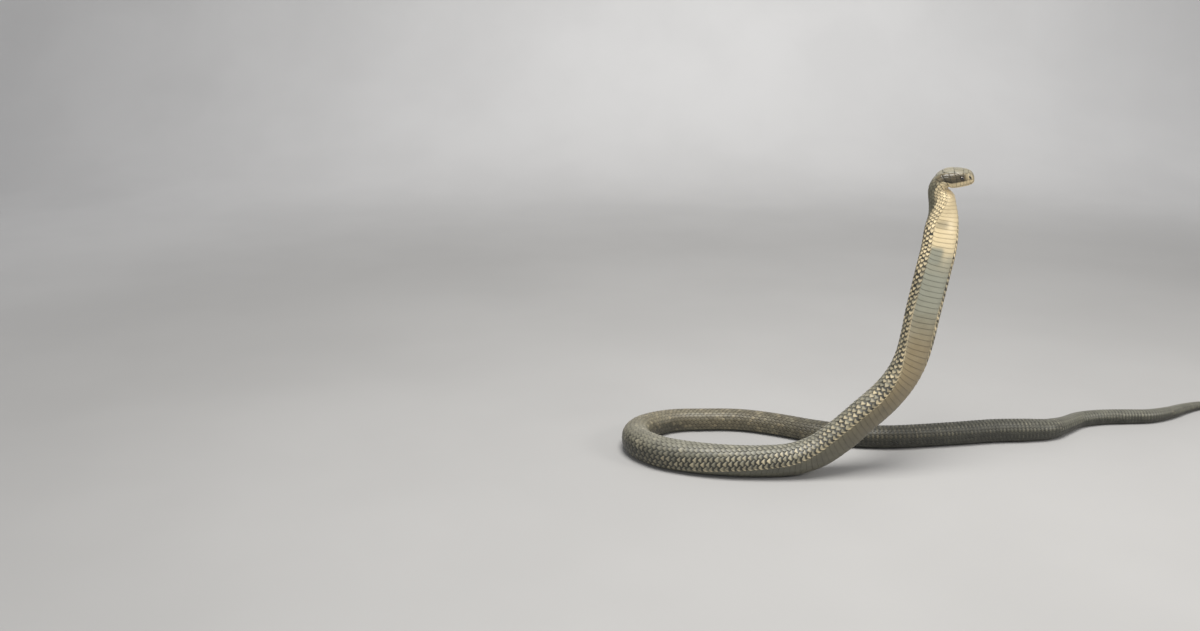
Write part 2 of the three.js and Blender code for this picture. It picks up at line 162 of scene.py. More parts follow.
def smooth(value, low, high):
    """0 below low, 1 above high, with a soft step between"""
    share = np.clip((np.asarray(value, float) - low) / (high - low), 0, 1)
    return share * share * (3 - 2 * share)


def unit(vectors):
    return vectors / np.linalg.norm(vectors, axis=-1, keepdims=True)


def head_stations():
    """The head's own line, run back from the snout and bent down at the nape"""
    axis = unit(np.array(HEAD_AXIS))
    crown = unit(np.array(UP) - axis * axis[2])
    side = np.cross(axis, crown)
    place = np.array(SNOUT)
    stations = []
    for step in range(int((HEAD_STRAIGHT + NAPE_LENGTH) / SPINE_STEP) + 1):
        distance = step * SPINE_STEP
        bent = float(smooth(distance, HEAD_STRAIGHT, HEAD_STRAIGHT + NAPE_LENGTH))
        turn = math.radians(NAPE_TURN * bent)
        roll = math.radians(HEAD_ROLL + (NAPE_ROLL - HEAD_ROLL) * bent)
        if distance % STATION_PITCH == 0:
            upright = crown * math.cos(turn) - axis * math.sin(turn)
            stations.append((*place, *(upright * math.cos(roll) + side * math.sin(roll))))
        place = place - SPINE_STEP * (axis * math.cos(turn) + crown * math.sin(turn))
    return stations


def curve(points, where, slope=False):
    """A smooth line through the points, or its slope, at places counted in points"""
    where = np.clip(where, 0, len(points) - 1)
    first = np.minimum(where.astype(int), len(points) - 2)
    share = (where - first)[:, None]
    wide = np.vstack([2 * points[0] - points[1], points, 2 * points[-1] - points[-2]])
    before, start, end, after = (wide[first + i] for i in range(4))
    leave, arrive = (end - before) / 2, (after - start) / 2
    bend = 2 * (start - end) + leave + arrive
    sweep = 3 * (end - start) - 2 * leave - arrive
    if slope:
        return 3 * bend * share**2 + 2 * sweep * share + leave
    return ((bend * share + sweep) * share + leave) * share + start


STATIONS = np.vstack([head_stations(), ROUTE])
SPINE_SAMPLES = 8001
SPINE_STEPS = np.linspace(0, len(STATIONS) - 1, SPINE_SAMPLES)
SPINE_LINE = curve(STATIONS[:, :3], SPINE_STEPS)
TRAVELLED = np.append(0, np.cumsum(np.linalg.norm(np.diff(SPINE_LINE, axis=0), axis=1)))
LENGTH = TRAVELLED[-1]
GIRTH_TABLE = np.array(GIRTH, float)
HEAD_TABLE = np.array(HEAD_LINES, float)


def read(table, column, distance):
    """A smooth reading of one column of a table whose first column is the distance"""
    x, y = table[:, 0], table[:, column]
    slope = np.zeros(len(y))
    slope[1:-1] = (y[2:] - y[:-2]) / (x[2:] - x[:-2])
    slope[0] = (y[1] - y[0]) / (x[1] - x[0])
    slope[-1] = (y[-1] - y[-2]) / (x[-1] - x[-2])
    distance = np.clip(distance, x[0], x[-1])
    i = np.clip(np.searchsorted(x, distance) - 1, 0, len(x) - 2)
    span = x[i + 1] - x[i]
    t = (distance - x[i]) / span
    rest = 1 - t
    return (y[i] * (1 + 2 * t) * rest**2 + y[i + 1] * t * t * (1 + 2 * rest)
            + span * t * rest * (slope[i] * rest - slope[i + 1] * t))


def rounded(value, roundness):
    return np.sign(value) * np.abs(value) ** (2 / roundness)


def skin_point(distance, degrees, lift=0.0, floor=0.0):
    """Points of the body's surface: 0 degrees is the back's midline and 180 the belly's"""
    distance, degrees, lift = np.broadcast_arrays(distance, degrees, lift)
    shape = distance.shape
    d = np.clip(distance.ravel().astype(float), 0, LENGTH)
    angle = np.radians(degrees.ravel())
    lift = lift.ravel()
    where = np.interp(d, TRAVELLED, SPINE_STEPS)
    centre = curve(STATIONS[:, :3], where)
    along = unit(curve(STATIONS[:, :3], where, slope=True))
    back = curve(STATIONS[:, 3:], where)
    back = unit(back - along * np.sum(back * along, axis=-1, keepdims=True))
    side = np.cross(along, back)
    middle = read(HEAD_TABLE, 1, d)
    cos, sin = np.cos(angle), np.sin(angle)
    body = smooth(d, *HEAD_FADE)
    upper = CROWN_ROUNDNESS + (BODY_ROUNDNESS - CROWN_ROUNDNESS) * body
    lower = JAW_ROUNDNESS + (BELLY_ROUNDNESS - JAW_ROUNDNESS) * body
    roundness = np.where(cos > 0, upper, lower)
    rise = np.where(cos > 0, read(GIRTH_TABLE, 2, d) - middle, middle + read(GIRTH_TABLE, 3, d))
    across = (read(GIRTH_TABLE, 1, d) + lift) * rounded(sin, roundness)
    height = middle + (rise + lift) * rounded(cos, roundness)
    points = centre + side * across[:, None] + back * height[:, None]
    points[:, 2] = np.maximum(points[:, 2], floor)
    return points.reshape(*shape, 3)


def mouth_angle(d):
    """Where the mouth line runs round the head, in degrees from the crown"""
    middle, bottom = read(HEAD_TABLE, 1, d), -read(GIRTH_TABLE, 3, d)
    below = np.clip((middle - read(HEAD_TABLE, 2, d)) / (middle - bottom), 0, MOUTH_LOWEST)
    body = smooth(d, *HEAD_FADE)
    roundness = JAW_ROUNDNESS + (BELLY_ROUNDNESS - JAW_ROUNDNESS) * body
    return 180 - np.degrees(np.arccos(below ** (roundness / 2)))


# A place on the body is its distance from the snout and its share of the way round, from 0 at
# the back's midline to 1 at the belly's, negative on the other side
ARC_PITCH = 2.0
ARC_STEPS = 121
LAST_READABLE = 1.001
ARC_DISTANCES = np.arange(ARC_PITCH / 2, LENGTH, ARC_PITCH)
ARC_ANGLES = np.linspace(0, 180, ARC_STEPS)
ARC_SHARES = np.linspace(0, 1, ARC_STEPS)


def arc_tables():
    """The way round half the body in millimetres, and the angle at each share of it"""
    rings = skin_point(ARC_DISTANCES[:, None], ARC_ANGLES[None, :], floor=-math.inf)
    steps = np.linalg.norm(np.diff(rings, axis=1), axis=2)
    arcs = np.hstack([np.zeros((len(rings), 1)), np.cumsum(steps, axis=1)])
    angles = np.array([np.interp(ARC_SHARES, arc / arc[-1], ARC_ANGLES) for arc in arcs])
    mouths = mouth_angle(ARC_DISTANCES)
    mouth_arcs = np.array([np.interp(mouth, ARC_ANGLES, arc) for mouth, arc in zip(mouths, arcs)])
    return arcs[:, -1], angles, mouth_arcs


HALF_GIRTHS, SHARE_ANGLES, MOUTH_ARCS = arc_tables()


def half_girth(d):
    return np.interp(d, ARC_DISTANCES, HALF_GIRTHS)


def mouth_arc(d):
    return np.interp(d, ARC_DISTANCES, MOUTH_ARCS)


def within_turn(share):
    """A share of the way round brought to -1 to 1, as one past 1 goes on up the other side"""
    return (np.asarray(share, float) + 1) % 2 - 1


def angle_at(d, share):
    share = within_turn(share)
    row = np.clip((d - ARC_DISTANCES[0]) / ARC_PITCH, 0, len(ARC_DISTANCES) - LAST_READABLE)
    column = np.minimum(np.abs(share) * (ARC_STEPS - 1), ARC_STEPS - LAST_READABLE)
    r, c = row.astype(int), column.astype(int)
    dr, dc = row - r, column - c
    near = SHARE_ANGLES[r, c] * (1 - dc) + SHARE_ANGLES[r, c + 1] * dc
    far = SHARE_ANGLES[r + 1, c] * (1 - dc) + SHARE_ANGLES[r + 1, c + 1] * dc
    return np.sign(share) * (near * (1 - dr) + far * dr)


LOWEST = 0.1


def on_body(d, share, lift=0.0, floor=LOWEST):
    """Points in metres at places on the body, lifted off it, and never under the floor"""
    d, share, lift = np.broadcast_arrays(np.asarray(d, float), share, lift)
    return skin_point(d, angle_at(d, share), lift, floor) * MM


# Markings: how much of each pigment lies over the olive, by distance along belly and back
BELLY_PALE = [(0, 1), (205, 1), (228, 0.8), (245, 0.5), (290, 0.2), (400, 0.12), (470, 0)]
BELLY_WARM = [(0, 0.15), (230, 0.1), (310, 0.15), (400, 0.5), (450, 0.64), (520, 0.72), (600, 0.6),
              (700, 0.45), (900, 0.22), (1050, 0.08), (3200, 0)]
BELLY_SLATE = [(0, 0), (200, 0.05), (228, 0.25), (245, 0.6), (290, 0.85), (350, 0.75), (400, 0.45),
               (450, 0.25), (580, 0.2), (800, 0.35), (1100, 0.45), (2300, 0.5)]
# Painted shade and shadow: the belly's dark stands partly for shade where it faces the floor and for the
# contact shadow under the hind body, and the back's dark from about 1500 on partly for a cast shadow; the
# rest is the snake's own dark
BELLY_DARK_AND_SHADE = [(0, 0), (460, 0), (520, 0.16), (600, 0.38), (700, 0.52), (880, 0.62), (1300, 0.45),
              (1700, 0.6), (1900, 0.85)]
BACK_WARM = [(0, 0.3), (120, 0.1), (1100, 0.1), (1350, 0.35), (2000, 0.3), (2300, 0.1), (3200, 0)]
BACK_SLATE = [(0, 0), (500, 0.1), (900, 0.35), (1250, 0.25), (1500, 0.1), (2200, 0.1), (2500, 0.4)]
BACK_DARK_AND_SHADOW = [(0, 0), (500, 0.04), (900, 0.22), (1250, 0.24), (1500, 0.24), (1700, 0.42), (1900, 0.74),
             (2250, 0.84), (2500, 0.58)]

# Where the head's and the throat's markings change: ENDs by distance, EDGEs by share of the way
# round, and the lips' edge by share of the way to the mouth line
HEAD_END = (60, 76)
LIPS_EDGE = (0.74, 0.84)
LIPS_END = (56, 72)
CHIN_END = (40, 72)
CROWN_EDGE = (0.15, 0.27)
# Painted sheen: the crown is paler, as where light from above glints on the head's top
CROWN_PAINTED_SHEEN = 0.2
# The head's side is darker and warmer than the crown: partly its own colour, partly painted shade of the side
CHEEK_EDGE = (0.2, 0.3)
CHEEK_FRONT = (14, 24)
CHEEK_WARM = 0.6
CHEEK_DARK = 0.74
SNOUT_EDGE = (0.12, 0.4)
SNOUT_END = (13, 23)
SNOUT_PALE = 0.6
# Painted shade in each nostril's hollow: the pigment round it is less pale and darker
NOSTRIL_SHADE = (1.4, 5.2)
NOSTRIL_PAINTED_SHADE = 0.7
THROAT_EDGE = (0.42, 0.56)
THROAT_END = (225, 330)

# Bands, each from one distance to another with a soft edge, and how strong they are
BELLY_EDGE = (0.64, 0.74)
NEAR_EDGE = (0.67, 0.76)
MIDLINE = (-0.1, 0.08)
DUSKY_BAR = (163, 182, 7)
DUSKY = 0.42
DUSKY_HIDES = 0.8
DUSKY_SLATE = 0.7
DUSKY_WARM = 0.6
VIOLET_PATCH = (224, 266, 10)
VIOLET = 0.85
VIOLET_HIDES = 0.75
CHEVRON_PITCH = 96
CHEVRON_BAND = (30, 46, 7)
CHEVRON_START = (330, 420)
CHEVRON_PALE = 0.16
# Painted shade: the left bend is darker down its sides
LEFT_BEND = (1130, 1480, 80)
LEFT_BEND_EDGE = (0.22, 0.5)
LEFT_BEND_SHADE = 0.45
# The hind body darker low on its flanks: partly its own dark, partly painted contact shadow along the floor
HIND_START = (1800, 2000)
HIND_EDGE = (0.4, 0.6)
HIND_DARK_AND_SHADOW = 0.6
# The cream line where the flank meets the belly
SEAM = (330, 1150, 60)
SEAM_EDGE = (0.708, 0.742, 0.012)
SEAM_PALE = 0.6
SEAM_CLEARS = 0.75


def level(table, d):
    """A straight-line reading of a table of distance and value"""
    points = np.array(table, float)
    return np.interp(d, points[:, 0], points[:, 1])


def off_centre(d, around, centre):
    """Millimetres on the skin from the middle of an eye or a nostril"""
    return np.hypot(d - centre[0], around - centre[1])


def band(value, low, high, soft):
    """1 between low and high, with soft edges"""
    return smooth(value, low - soft, low + soft) * (1 - smooth(value, high - soft, high + soft))


def markings(d, share):
    """Pale, warm, slate and dark shares of the pigment at a place, with painted sheen, shade and shadow among
    them
    """
    share = within_turn(share)
    turn = np.abs(share)
    d = d + np.zeros_like(turn)
    belly = smooth(turn, *BELLY_EDGE)
    back = 1 - belly
    head = 1 - smooth(d, *HEAD_END)
    to_mouth = turn * half_girth(d) / mouth_arc(d)
    lips = smooth(to_mouth, *LIPS_EDGE)
    crown = (1 - smooth(turn, *CROWN_EDGE)) * head
    # The cheek's dark is partly its own colour and partly painted shade
    cheek = smooth(turn, *CHEEK_EDGE) * (1 - lips) * head * smooth(d, *CHEEK_FRONT)
    nostril = 1 - smooth(off_centre(d, turn * half_girth(d), NOSTRIL), *NOSTRIL_SHADE)
    snout = (1 - smooth(d, *SNOUT_END)) * smooth(turn, *SNOUT_EDGE)
    throat = smooth(turn, *THROAT_EDGE) * (1 - smooth(d, *THROAT_END))
    pale = np.maximum(level(BELLY_PALE, d) * belly, throat)
    behind = smooth(d, *LIPS_END)
    chin = belly * smooth(d, *CHIN_END)
    jowl = np.maximum(lips * (1 - behind), np.maximum(chin, throat * behind))
    pale = np.where(d < LIPS_END[1], jowl, pale)
    warm = level(BELLY_WARM, d) * belly + level(BACK_WARM, d) * back
    slate = level(BELLY_SLATE, d) * belly + level(BACK_SLATE, d) * back
    # The dark carries painted shade and shadow as well as the snake's own dark
    dark = level(BELLY_DARK_AND_SHADE, d) * belly + level(BACK_DARK_AND_SHADOW, d) * back
    dark = dark + band(d, *LEFT_BEND) * smooth(turn, *LEFT_BEND_EDGE) * back * LEFT_BEND_SHADE
    dark = dark + smooth(d, *HIND_START) * smooth(turn, *HIND_EDGE) * back * HIND_DARK_AND_SHADOW
    # Painted shade round each nostril's hollow
    pale = np.maximum(pale, snout * SNOUT_PALE) * (1 - nostril * NOSTRIL_PAINTED_SHADE)
    dark = dark + cheek * CHEEK_DARK + nostril * NOSTRIL_PAINTED_SHADE
    one_side = smooth(np.where(share < 0, 1 - turn, turn - 1), *MIDLINE)
    near_side = smooth(turn, *NEAR_EDGE) * one_side
    dusky = band(d, *DUSKY_BAR) * near_side * DUSKY
    violet = band(d, *VIOLET_PATCH) * near_side * VIOLET
    chevron = band(d % CHEVRON_PITCH, *CHEVRON_BAND) * back * smooth(d, *CHEVRON_START)
    pale = pale * (1 - dusky * DUSKY_HIDES) * (1 - violet * VIOLET_HIDES)
    # The crown's added pale is painted sheen
    pale = pale + chevron * CHEVRON_PALE + crown * CROWN_PAINTED_SHEEN
    slate = np.maximum(slate, violet + dusky * DUSKY_SLATE)
    warm = warm + dusky * DUSKY_WARM + cheek * CHEEK_WARM
    seam = band(turn, *SEAM_EDGE) * band(d, *SEAM)
    pale = np.maximum(pale, seam * SEAM_PALE)
    warm, slate, dark = (pigment_and_painted_light * (1 - seam * SEAM_CLEARS) for pigment_and_painted_light in (warm, slate, dark))
    return np.clip(np.stack([pale, warm, slate, dark], axis=-1), 0, 1)


# Unwrap: the skin slit along the belly and laid out in four strips, one above the other
UNWRAP_STRIPS = 4
UNWRAP_LENGTH = LENGTH / UNWRAP_STRIPS
UNWRAP_MARGIN = 0.03
PATCH = 0.003
HEAD_LENGTH = 130.0
HEAD_MARGIN = 0.02


def strip_at(d):
    """The strip of the unwrap that a distance lies in"""
    return np.clip((d / UNWRAP_LENGTH).astype(int), 0, UNWRAP_STRIPS - 1)


def unwrap(d, share, strip):
    """Places in the unwrap: the body in strips, one above the other"""
    u = (d - strip * UNWRAP_LENGTH) / UNWRAP_LENGTH * (1 - 2 * UNWRAP_MARGIN) + UNWRAP_MARGIN
    v = (strip + 0.5 + share * (0.5 - UNWRAP_MARGIN)) / UNWRAP_STRIPS
    return np.stack([u, v], axis=-1)


def folded(share):
    """Shares past the belly's midline, turned back over it"""
    return np.where(np.abs(share) > 1, np.sign(share) * (2 - np.abs(share)), share)


def head_unwrap(d, share):
    """Places of the head's shields in the unwrap"""
    u = d / HEAD_LENGTH * (1 - 2 * HEAD_MARGIN) + HEAD_MARGIN
    return np.stack([u, 0.5 + share * (0.5 - UNWRAP_MARGIN)], axis=-1)


# Meshes
UNWRAP_NAME = "OFBake"
SAME_PLACE = 1e-6


def added(name, primitive, **settings):
    """A new primitive, alone in the selection"""
    bpy.ops.object.select_all(action="DESELECT")
    primitive(**settings)
    piece = bpy.context.object
    piece.name = name
    piece.data.name = name
    return piece


def added_grid(name, rows, columns):
    """A flat grid from -1 to 1 both ways"""
    return added(name, bpy.ops.mesh.primitive_grid_add, x_subdivisions=rows, y_subdivisions=columns, size=2)


def coordinates(mesh):
    values = np.empty(len(mesh.vertices) * 3)
    mesh.vertices.foreach_get("co", values)
    return values.reshape(-1, 3)


def grid_sheet(name, rows, columns):
    """A flat sheet of quads, and the row and column of each of its vertices"""
    piece = added_grid(name, rows, columns)
    places = coordinates(piece.data)
    row = np.rint((places[:, 0] + 1) / 2 * rows).astype(int)
    column = np.rint((places[:, 1] + 1) / 2 * columns).astype(int)
    return piece, row, column


def set_places(mesh, places):
    mesh.vertices.foreach_set("co", np.asarray(places, np.float32).ravel())
    mesh.update()


def set_unwrap(mesh, values):
    """Writes the unwrap, one pair of values for each corner"""
    for name in [layer.name for layer in mesh.uv_layers]:
        mesh.uv_layers.remove(mesh.uv_layers[name])
    layer = mesh.uv_layers.new(name=UNWRAP_NAME)
    layer.data.foreach_set("uv", np.asarray(values, np.float32).ravel())


def corner_vertices(mesh):
    """The vertex that each corner of the mesh's faces belongs to"""
    index = np.empty(len(mesh.loops), int)
    mesh.loops.foreach_get("vertex_index", index)
    return index


def set_attribute(mesh, name, values):
    """Writes four numbers for each vertex"""
    layer = mesh.attributes.new(name, "FLOAT_COLOR", "POINT")
    layer.data.foreach_set("color", np.asarray(values, np.float32).ravel())


def plate_values(shape, along, across, tint):
    """The plate attribute: how far along and across its plate a vertex lies, and the plate's tint"""
    values = np.zeros((*shape, 4))
    for i, value in enumerate((along, across, tint)):
        values[..., i] = value
    return values


def close_piece():
    """Merges the active piece's seam and poles and turns every face outwards"""
    bpy.ops.object.mode_set(mode="EDIT")
    bpy.ops.mesh.select_all(action="SELECT")
    bpy.ops.mesh.remove_doubles(threshold=SAME_PLACE)
    bpy.ops.mesh.normals_make_consistent(inside=False)
    bpy.ops.object.mode_set(mode="OBJECT")


# How closely the rows of a plate crowd towards its rear edge and its sides, to keep them crisp
REAR_CROWDING = 1.6
SIDE_CROWDING = 1.25


def plate_template(name, rows, columns):
    """A closed plate of unit size: each vertex's way along, across and up, and the faces' corners"""
    piece = added_grid(name, rows, columns)
    mesh = piece.data
    bpy.ops.object.mode_set(mode="EDIT")
    bpy.ops.mesh.select_all(action="SELECT")
    bpy.ops.mesh.extrude_region_move(TRANSFORM_OT_translate={"value": (0, 0, 1)})
    bpy.ops.mesh.select_all(action="SELECT")
    bpy.ops.mesh.normals_make_consistent(inside=False)
    bpy.ops.object.mode_set(mode="OBJECT")
    for face in mesh.polygons:
        face.select = face.center.z < SAME_PLACE
    bpy.ops.object.mode_set(mode="EDIT")
    bpy.ops.mesh.select_mode(type="FACE")
    bpy.ops.mesh.dissolve_faces()
    bpy.ops.object.mode_set(mode="OBJECT")
    places = coordinates(mesh)
    # Along, across and up turn the other way round on the body, so the faces are turned too
    faces = [tuple(reversed(face.vertices)) for face in mesh.polygons]
    bpy.data.objects.remove(piece)
    bpy.data.meshes.remove(mesh)
    along = 1 - ((1 - places[:, 0]) / 2) ** REAR_CROWDING
    across = np.sign(places[:, 1]) * (1 - (1 - np.abs(places[:, 1])) ** SIDE_CROWDING)
    return along, across, places[:, 2], faces


def disc_template(rim, rings):
    """A closed round plate: each vertex's share of the radius, rim number and height, and its faces"""
    radius = np.concatenate([[0.0], np.repeat([*rings, 1.0], rim)])
    number = np.concatenate([[0], np.tile(np.arange(rim), len(rings) + 1)])
    height = np.concatenate([np.ones(1 + len(rings) * rim), np.zeros(rim)])
    faces = [(0, 1 + i, 1 + (i + 1) % rim) for i in range(rim)]
    for near in range(1, 1 + len(rings) * rim, rim):
        far = near + rim
        faces += [(near + i, far + i, far + (i + 1) % rim, near + (i + 1) % rim) for i in range(rim)]
    faces.append(tuple(reversed(range(far, far + rim))))
    return radius, number, height, faces


def joined_copies(name, places, faces, unwraps, plate, pigment_and_painted_light):
    """One mesh of many copies of a template, whose vertices come as an array for each copy"""
    copies, size = places.shape[:2]
    counts = np.array([len(face) for face in faces])
    corners = np.concatenate([np.array(face) for face in faces])
    mesh = bpy.data.meshes.new(name)
    mesh.vertices.add(copies * size)
    mesh.loops.add(copies * len(corners))
    mesh.polygons.add(copies * len(counts))
    shifted = (corners[None, :] + np.arange(copies)[:, None] * size).ravel()
    starts = np.concatenate([[0], np.cumsum(counts)[:-1]])
    starts = (starts[None, :] + np.arange(copies)[:, None] * len(corners)).ravel()
    mesh.vertices.foreach_set("co", places.astype(np.float32).ravel())
    mesh.loops.foreach_set("vertex_index", shifted.astype(np.int32))
    mesh.polygons.foreach_set("loop_start", starts.astype(np.int32))
    mesh.polygons.foreach_set("loop_total", np.tile(counts, copies).astype(np.int32))
    mesh.update(calc_edges=True)
    mesh.validate()
    set_unwrap(mesh, unwraps.reshape(-1, 2)[shifted])
    set_attribute(mesh, "plate", plate.reshape(-1, 4))
    set_attribute(mesh, "pigment_and_painted_light", pigment_and_painted_light.reshape(-1, 4))
    mesh.shade_smooth()
    piece = bpy.data.objects.new(name, mesh)
    bpy.context.collection.objects.link(piece)
    return piece


# Materials. Noise scales are in turns to a metre
PATCHY_SCALE = 38.0
PATCHY_SWING = 0.5
SPECKLE_SCALE = 900.0
DUST_AND_SHEEN_PATCH_SCALE = 24.0
DUST_AND_SHEEN_GRIT_SCALE = 600.0
BROAD_GRAIN_SCALE = 260.0
FINE_GRAIN_SCALE = 1600.0
WRINKLES = 46.0
BUMP_DEPTH = 0.0002
COAT_ROUGHNESS = 0.3
# Where a plate darkens: towards its sides, and back from its tip towards its root
SIDE_RIM = (0.7, 1.0)
SIDE_RIM_DARK = 0.85
ROOT_RIM = (0.6, 0.16)
# How far the warm and the dark pigment thin the dust and the painted sheen
WARM_DUST_AND_SHEEN = -1.8
DARK_DUST_AND_SHEEN = -0.8
IRIS_RAYS = 40.0
IRIS_RINGS = 3.0
IRIS_EDGE = (0.5, 0.75)
PUPIL_SOFT = 0.02
PUPIL_BLACK = (0.002, 0.002, 0.002, 1.0)
# Where most of a noise's values lie, and which part of it and of the facing carries the dust and the painted
# sheen
NOISE_SPAN = (0.3, 0.7)
DUST_AND_SHEEN_PATCHES = (0.25, 0.7)
FACING_UP = (0.15, 0.95)


def socketed_group(name, inputs, outputs):
    """A shader node group with named sockets, and its two end nodes"""
    group = bpy.data.node_groups.new(name, "ShaderNodeTree")
    for label, kind, default in inputs:
        socket = group.interface.new_socket(label, in_out="INPUT", socket_type=kind)
        if default is not None:
            socket.default_value = default
    for label, kind in outputs:
        group.interface.new_socket(label, in_out="OUTPUT", socket_type=kind)
    return group, group.nodes.new("NodeGroupInput"), group.nodes.new("NodeGroupOutput")


def node(tree, kind, links=(), **settings):
    """A node with its settings, and with sockets set or linked from (socket, value) pairs"""
    made = tree.nodes.new(kind)
    for key, value in settings.items():
        setattr(made, key, value)
    for socket, value in links:
        if isinstance(value, bpy.types.NodeSocket):
            tree.links.new(value, made.inputs[socket])
        else:
            made.inputs[socket].default_value = value
    return made


def math_node(tree, operation, first, second=0.0, third=0.0, clamp=False):
    links = [(0, first), (1, second), (2, third)]
    return node(tree, "ShaderNodeMath", links, operation=operation, use_clamp=clamp).outputs[0]


def mixed(tree, factor, first, second, blend="MIX"):
    links = [(0, factor), (6, first), (7, second)]
    made = node(tree, "ShaderNodeMix", links, data_type="RGBA", blend_type=blend, clamp_factor=True)
    return made.outputs[2]


def noise(tree, scale, detail=2.0, vector=None):
    links = [("Scale", scale), ("Detail", detail)]
    if vector is None:
        vector = node(tree, "ShaderNodeTexCoord").outputs["Object"]
    links.append(("Vector", vector))
    return node(tree, "ShaderNodeTexNoise", links).outputs["Fac"]


def ramped(tree, value, low, high):
    links = [("Value", value), ("From Min", low), ("From Max", high)]
    return node(tree, "ShaderNodeMapRange", links, interpolation_type="SMOOTHSTEP").outputs[0]


def pigment_and_painted_light_group():
    """The snake's colour with its painted sheen, shade and shadow: olive, then the pale, warm, slate and dark
    pigments over it
    """
    colours = ["Olive", "Pale", "Warm", "Slate", "Dark"]
    inputs = [(label, "NodeSocketColor", None) for label in colours]
    group, start, end = socketed_group("Cobra Pigment and Painted Light", inputs, [("Color", "NodeSocketColor")])
    pigment_and_painted_light = node(group, "ShaderNodeAttribute", attribute_name="pigment_and_painted_light")
    parts = node(group, "ShaderNodeSeparateColor", [("Color", pigment_and_painted_light.outputs["Color"])])
    colour = start.outputs["Olive"]
    shares = [*parts.outputs[:3], pigment_and_painted_light.outputs["Alpha"]]
    cloud = noise(group, PATCHY_SCALE, 4.0)
    for label, share in zip(colours[1:], shares):
        swing = math_node(group, "SUBTRACT", cloud, 0.5)
        uneven = math_node(group, "MULTIPLY_ADD", swing, PATCHY_SWING, share)
        patchy = ramped(group, uneven, 0.0, 1.0)
        weight = math_node(group, "MULTIPLY", patchy, ramped(group, share, 0.0, 0.25), clamp=True)
        colour = mixed(group, weight, colour, start.outputs[label])
    group.links.new(colour, end.inputs["Color"])
    return group


def plate_group():
    """A plate's own shading: its tint, its dark sides and root, and its speckle"""
    inputs = [("Color", "NodeSocketColor", None), ("Rim Color", "NodeSocketColor", None),
              ("Rim", "NodeSocketFloat", 0.6), ("Tint", "NodeSocketFloat", 0.25)]
    group, start, end = socketed_group("Cobra Plate", inputs, [("Color", "NodeSocketColor")])
    plate = node(group, "ShaderNodeAttribute", attribute_name="plate")
    parts = node(group, "ShaderNodeSeparateColor", [("Color", plate.outputs["Color"])])
    along, across, tint = parts.outputs[:3]
    speckle = noise(group, SPECKLE_SCALE, 3.0)
    sides = math_node(group, "MULTIPLY", ramped(group, across, *SIDE_RIM), SIDE_RIM_DARK)
    edge = math_node(group, "MAXIMUM", sides, ramped(group, along, *ROOT_RIM))
    broken = math_node(group, "MULTIPLY_ADD", speckle, 0.5, 0.7)
    rim = math_node(group, "MULTIPLY", math_node(group, "MULTIPLY", edge, broken), start.outputs["Rim"])
    colour = mixed(group, rim, start.outputs["Color"], start.outputs["Rim Color"])
    swing = math_node(group, "SUBTRACT", tint, 0.5)
    bright = math_node(group, "MULTIPLY_ADD", swing, start.outputs["Tint"], 1.0)
    grain = math_node(group, "MULTIPLY_ADD", speckle, 0.24, 0.88)
    value = math_node(group, "MULTIPLY", bright, grain)
    shade = node(group, "ShaderNodeCombineColor", [(0, value), (1, value), (2, value)])
    colour = mixed(group, 1.0, colour, shade.outputs[0], "MULTIPLY")
    group.links.new(colour, end.inputs["Color"])
    return group


def dust_and_sheen_group():
    """Dust and painted sheen on what faces up: a mask, thicker in patches; the paleness is partly dust and
    partly light from above
    """
    inputs = [("Amount", "NodeSocketFloat", 0.5)]
    group, start, end = socketed_group("Cobra Dust and Sheen", inputs, [("Mask", "NodeSocketFloat")])
    pigment_and_painted_light = node(group, "ShaderNodeAttribute", attribute_name="pigment_and_painted_light")
    warm = node(group, "ShaderNodeSeparateColor", [("Color", pigment_and_painted_light.outputs["Color"])]).outputs[1]
    thin = math_node(group, "MULTIPLY_ADD", warm, WARM_DUST_AND_SHEEN, 1.0)
    thin = math_node(group, "MULTIPLY_ADD", pigment_and_painted_light.outputs["Alpha"], DARK_DUST_AND_SHEEN, thin)
    normal = node(group, "ShaderNodeNewGeometry").outputs["Normal"]
    up = node(group, "ShaderNodeSeparateXYZ", [(0, normal)]).outputs["Z"]
    facing = ramped(group, up, *FACING_UP)
    patches = ramped(group, noise(group, DUST_AND_SHEEN_PATCH_SCALE, 5.0), *DUST_AND_SHEEN_PATCHES)
    fine = ramped(group, noise(group, DUST_AND_SHEEN_GRIT_SCALE, 3.0), *NOISE_SPAN)
    texture = math_node(group, "MULTIPLY_ADD", math_node(group, "MULTIPLY", patches, fine), 0.6, 0.4)
    lying = math_node(group, "MULTIPLY", facing, texture)
    mask = math_node(group, "MULTIPLY", lying, start.outputs["Amount"])
    mask = math_node(group, "MULTIPLY", mask, thin, clamp=True)
    group.links.new(mask, end.inputs["Mask"])
    return group


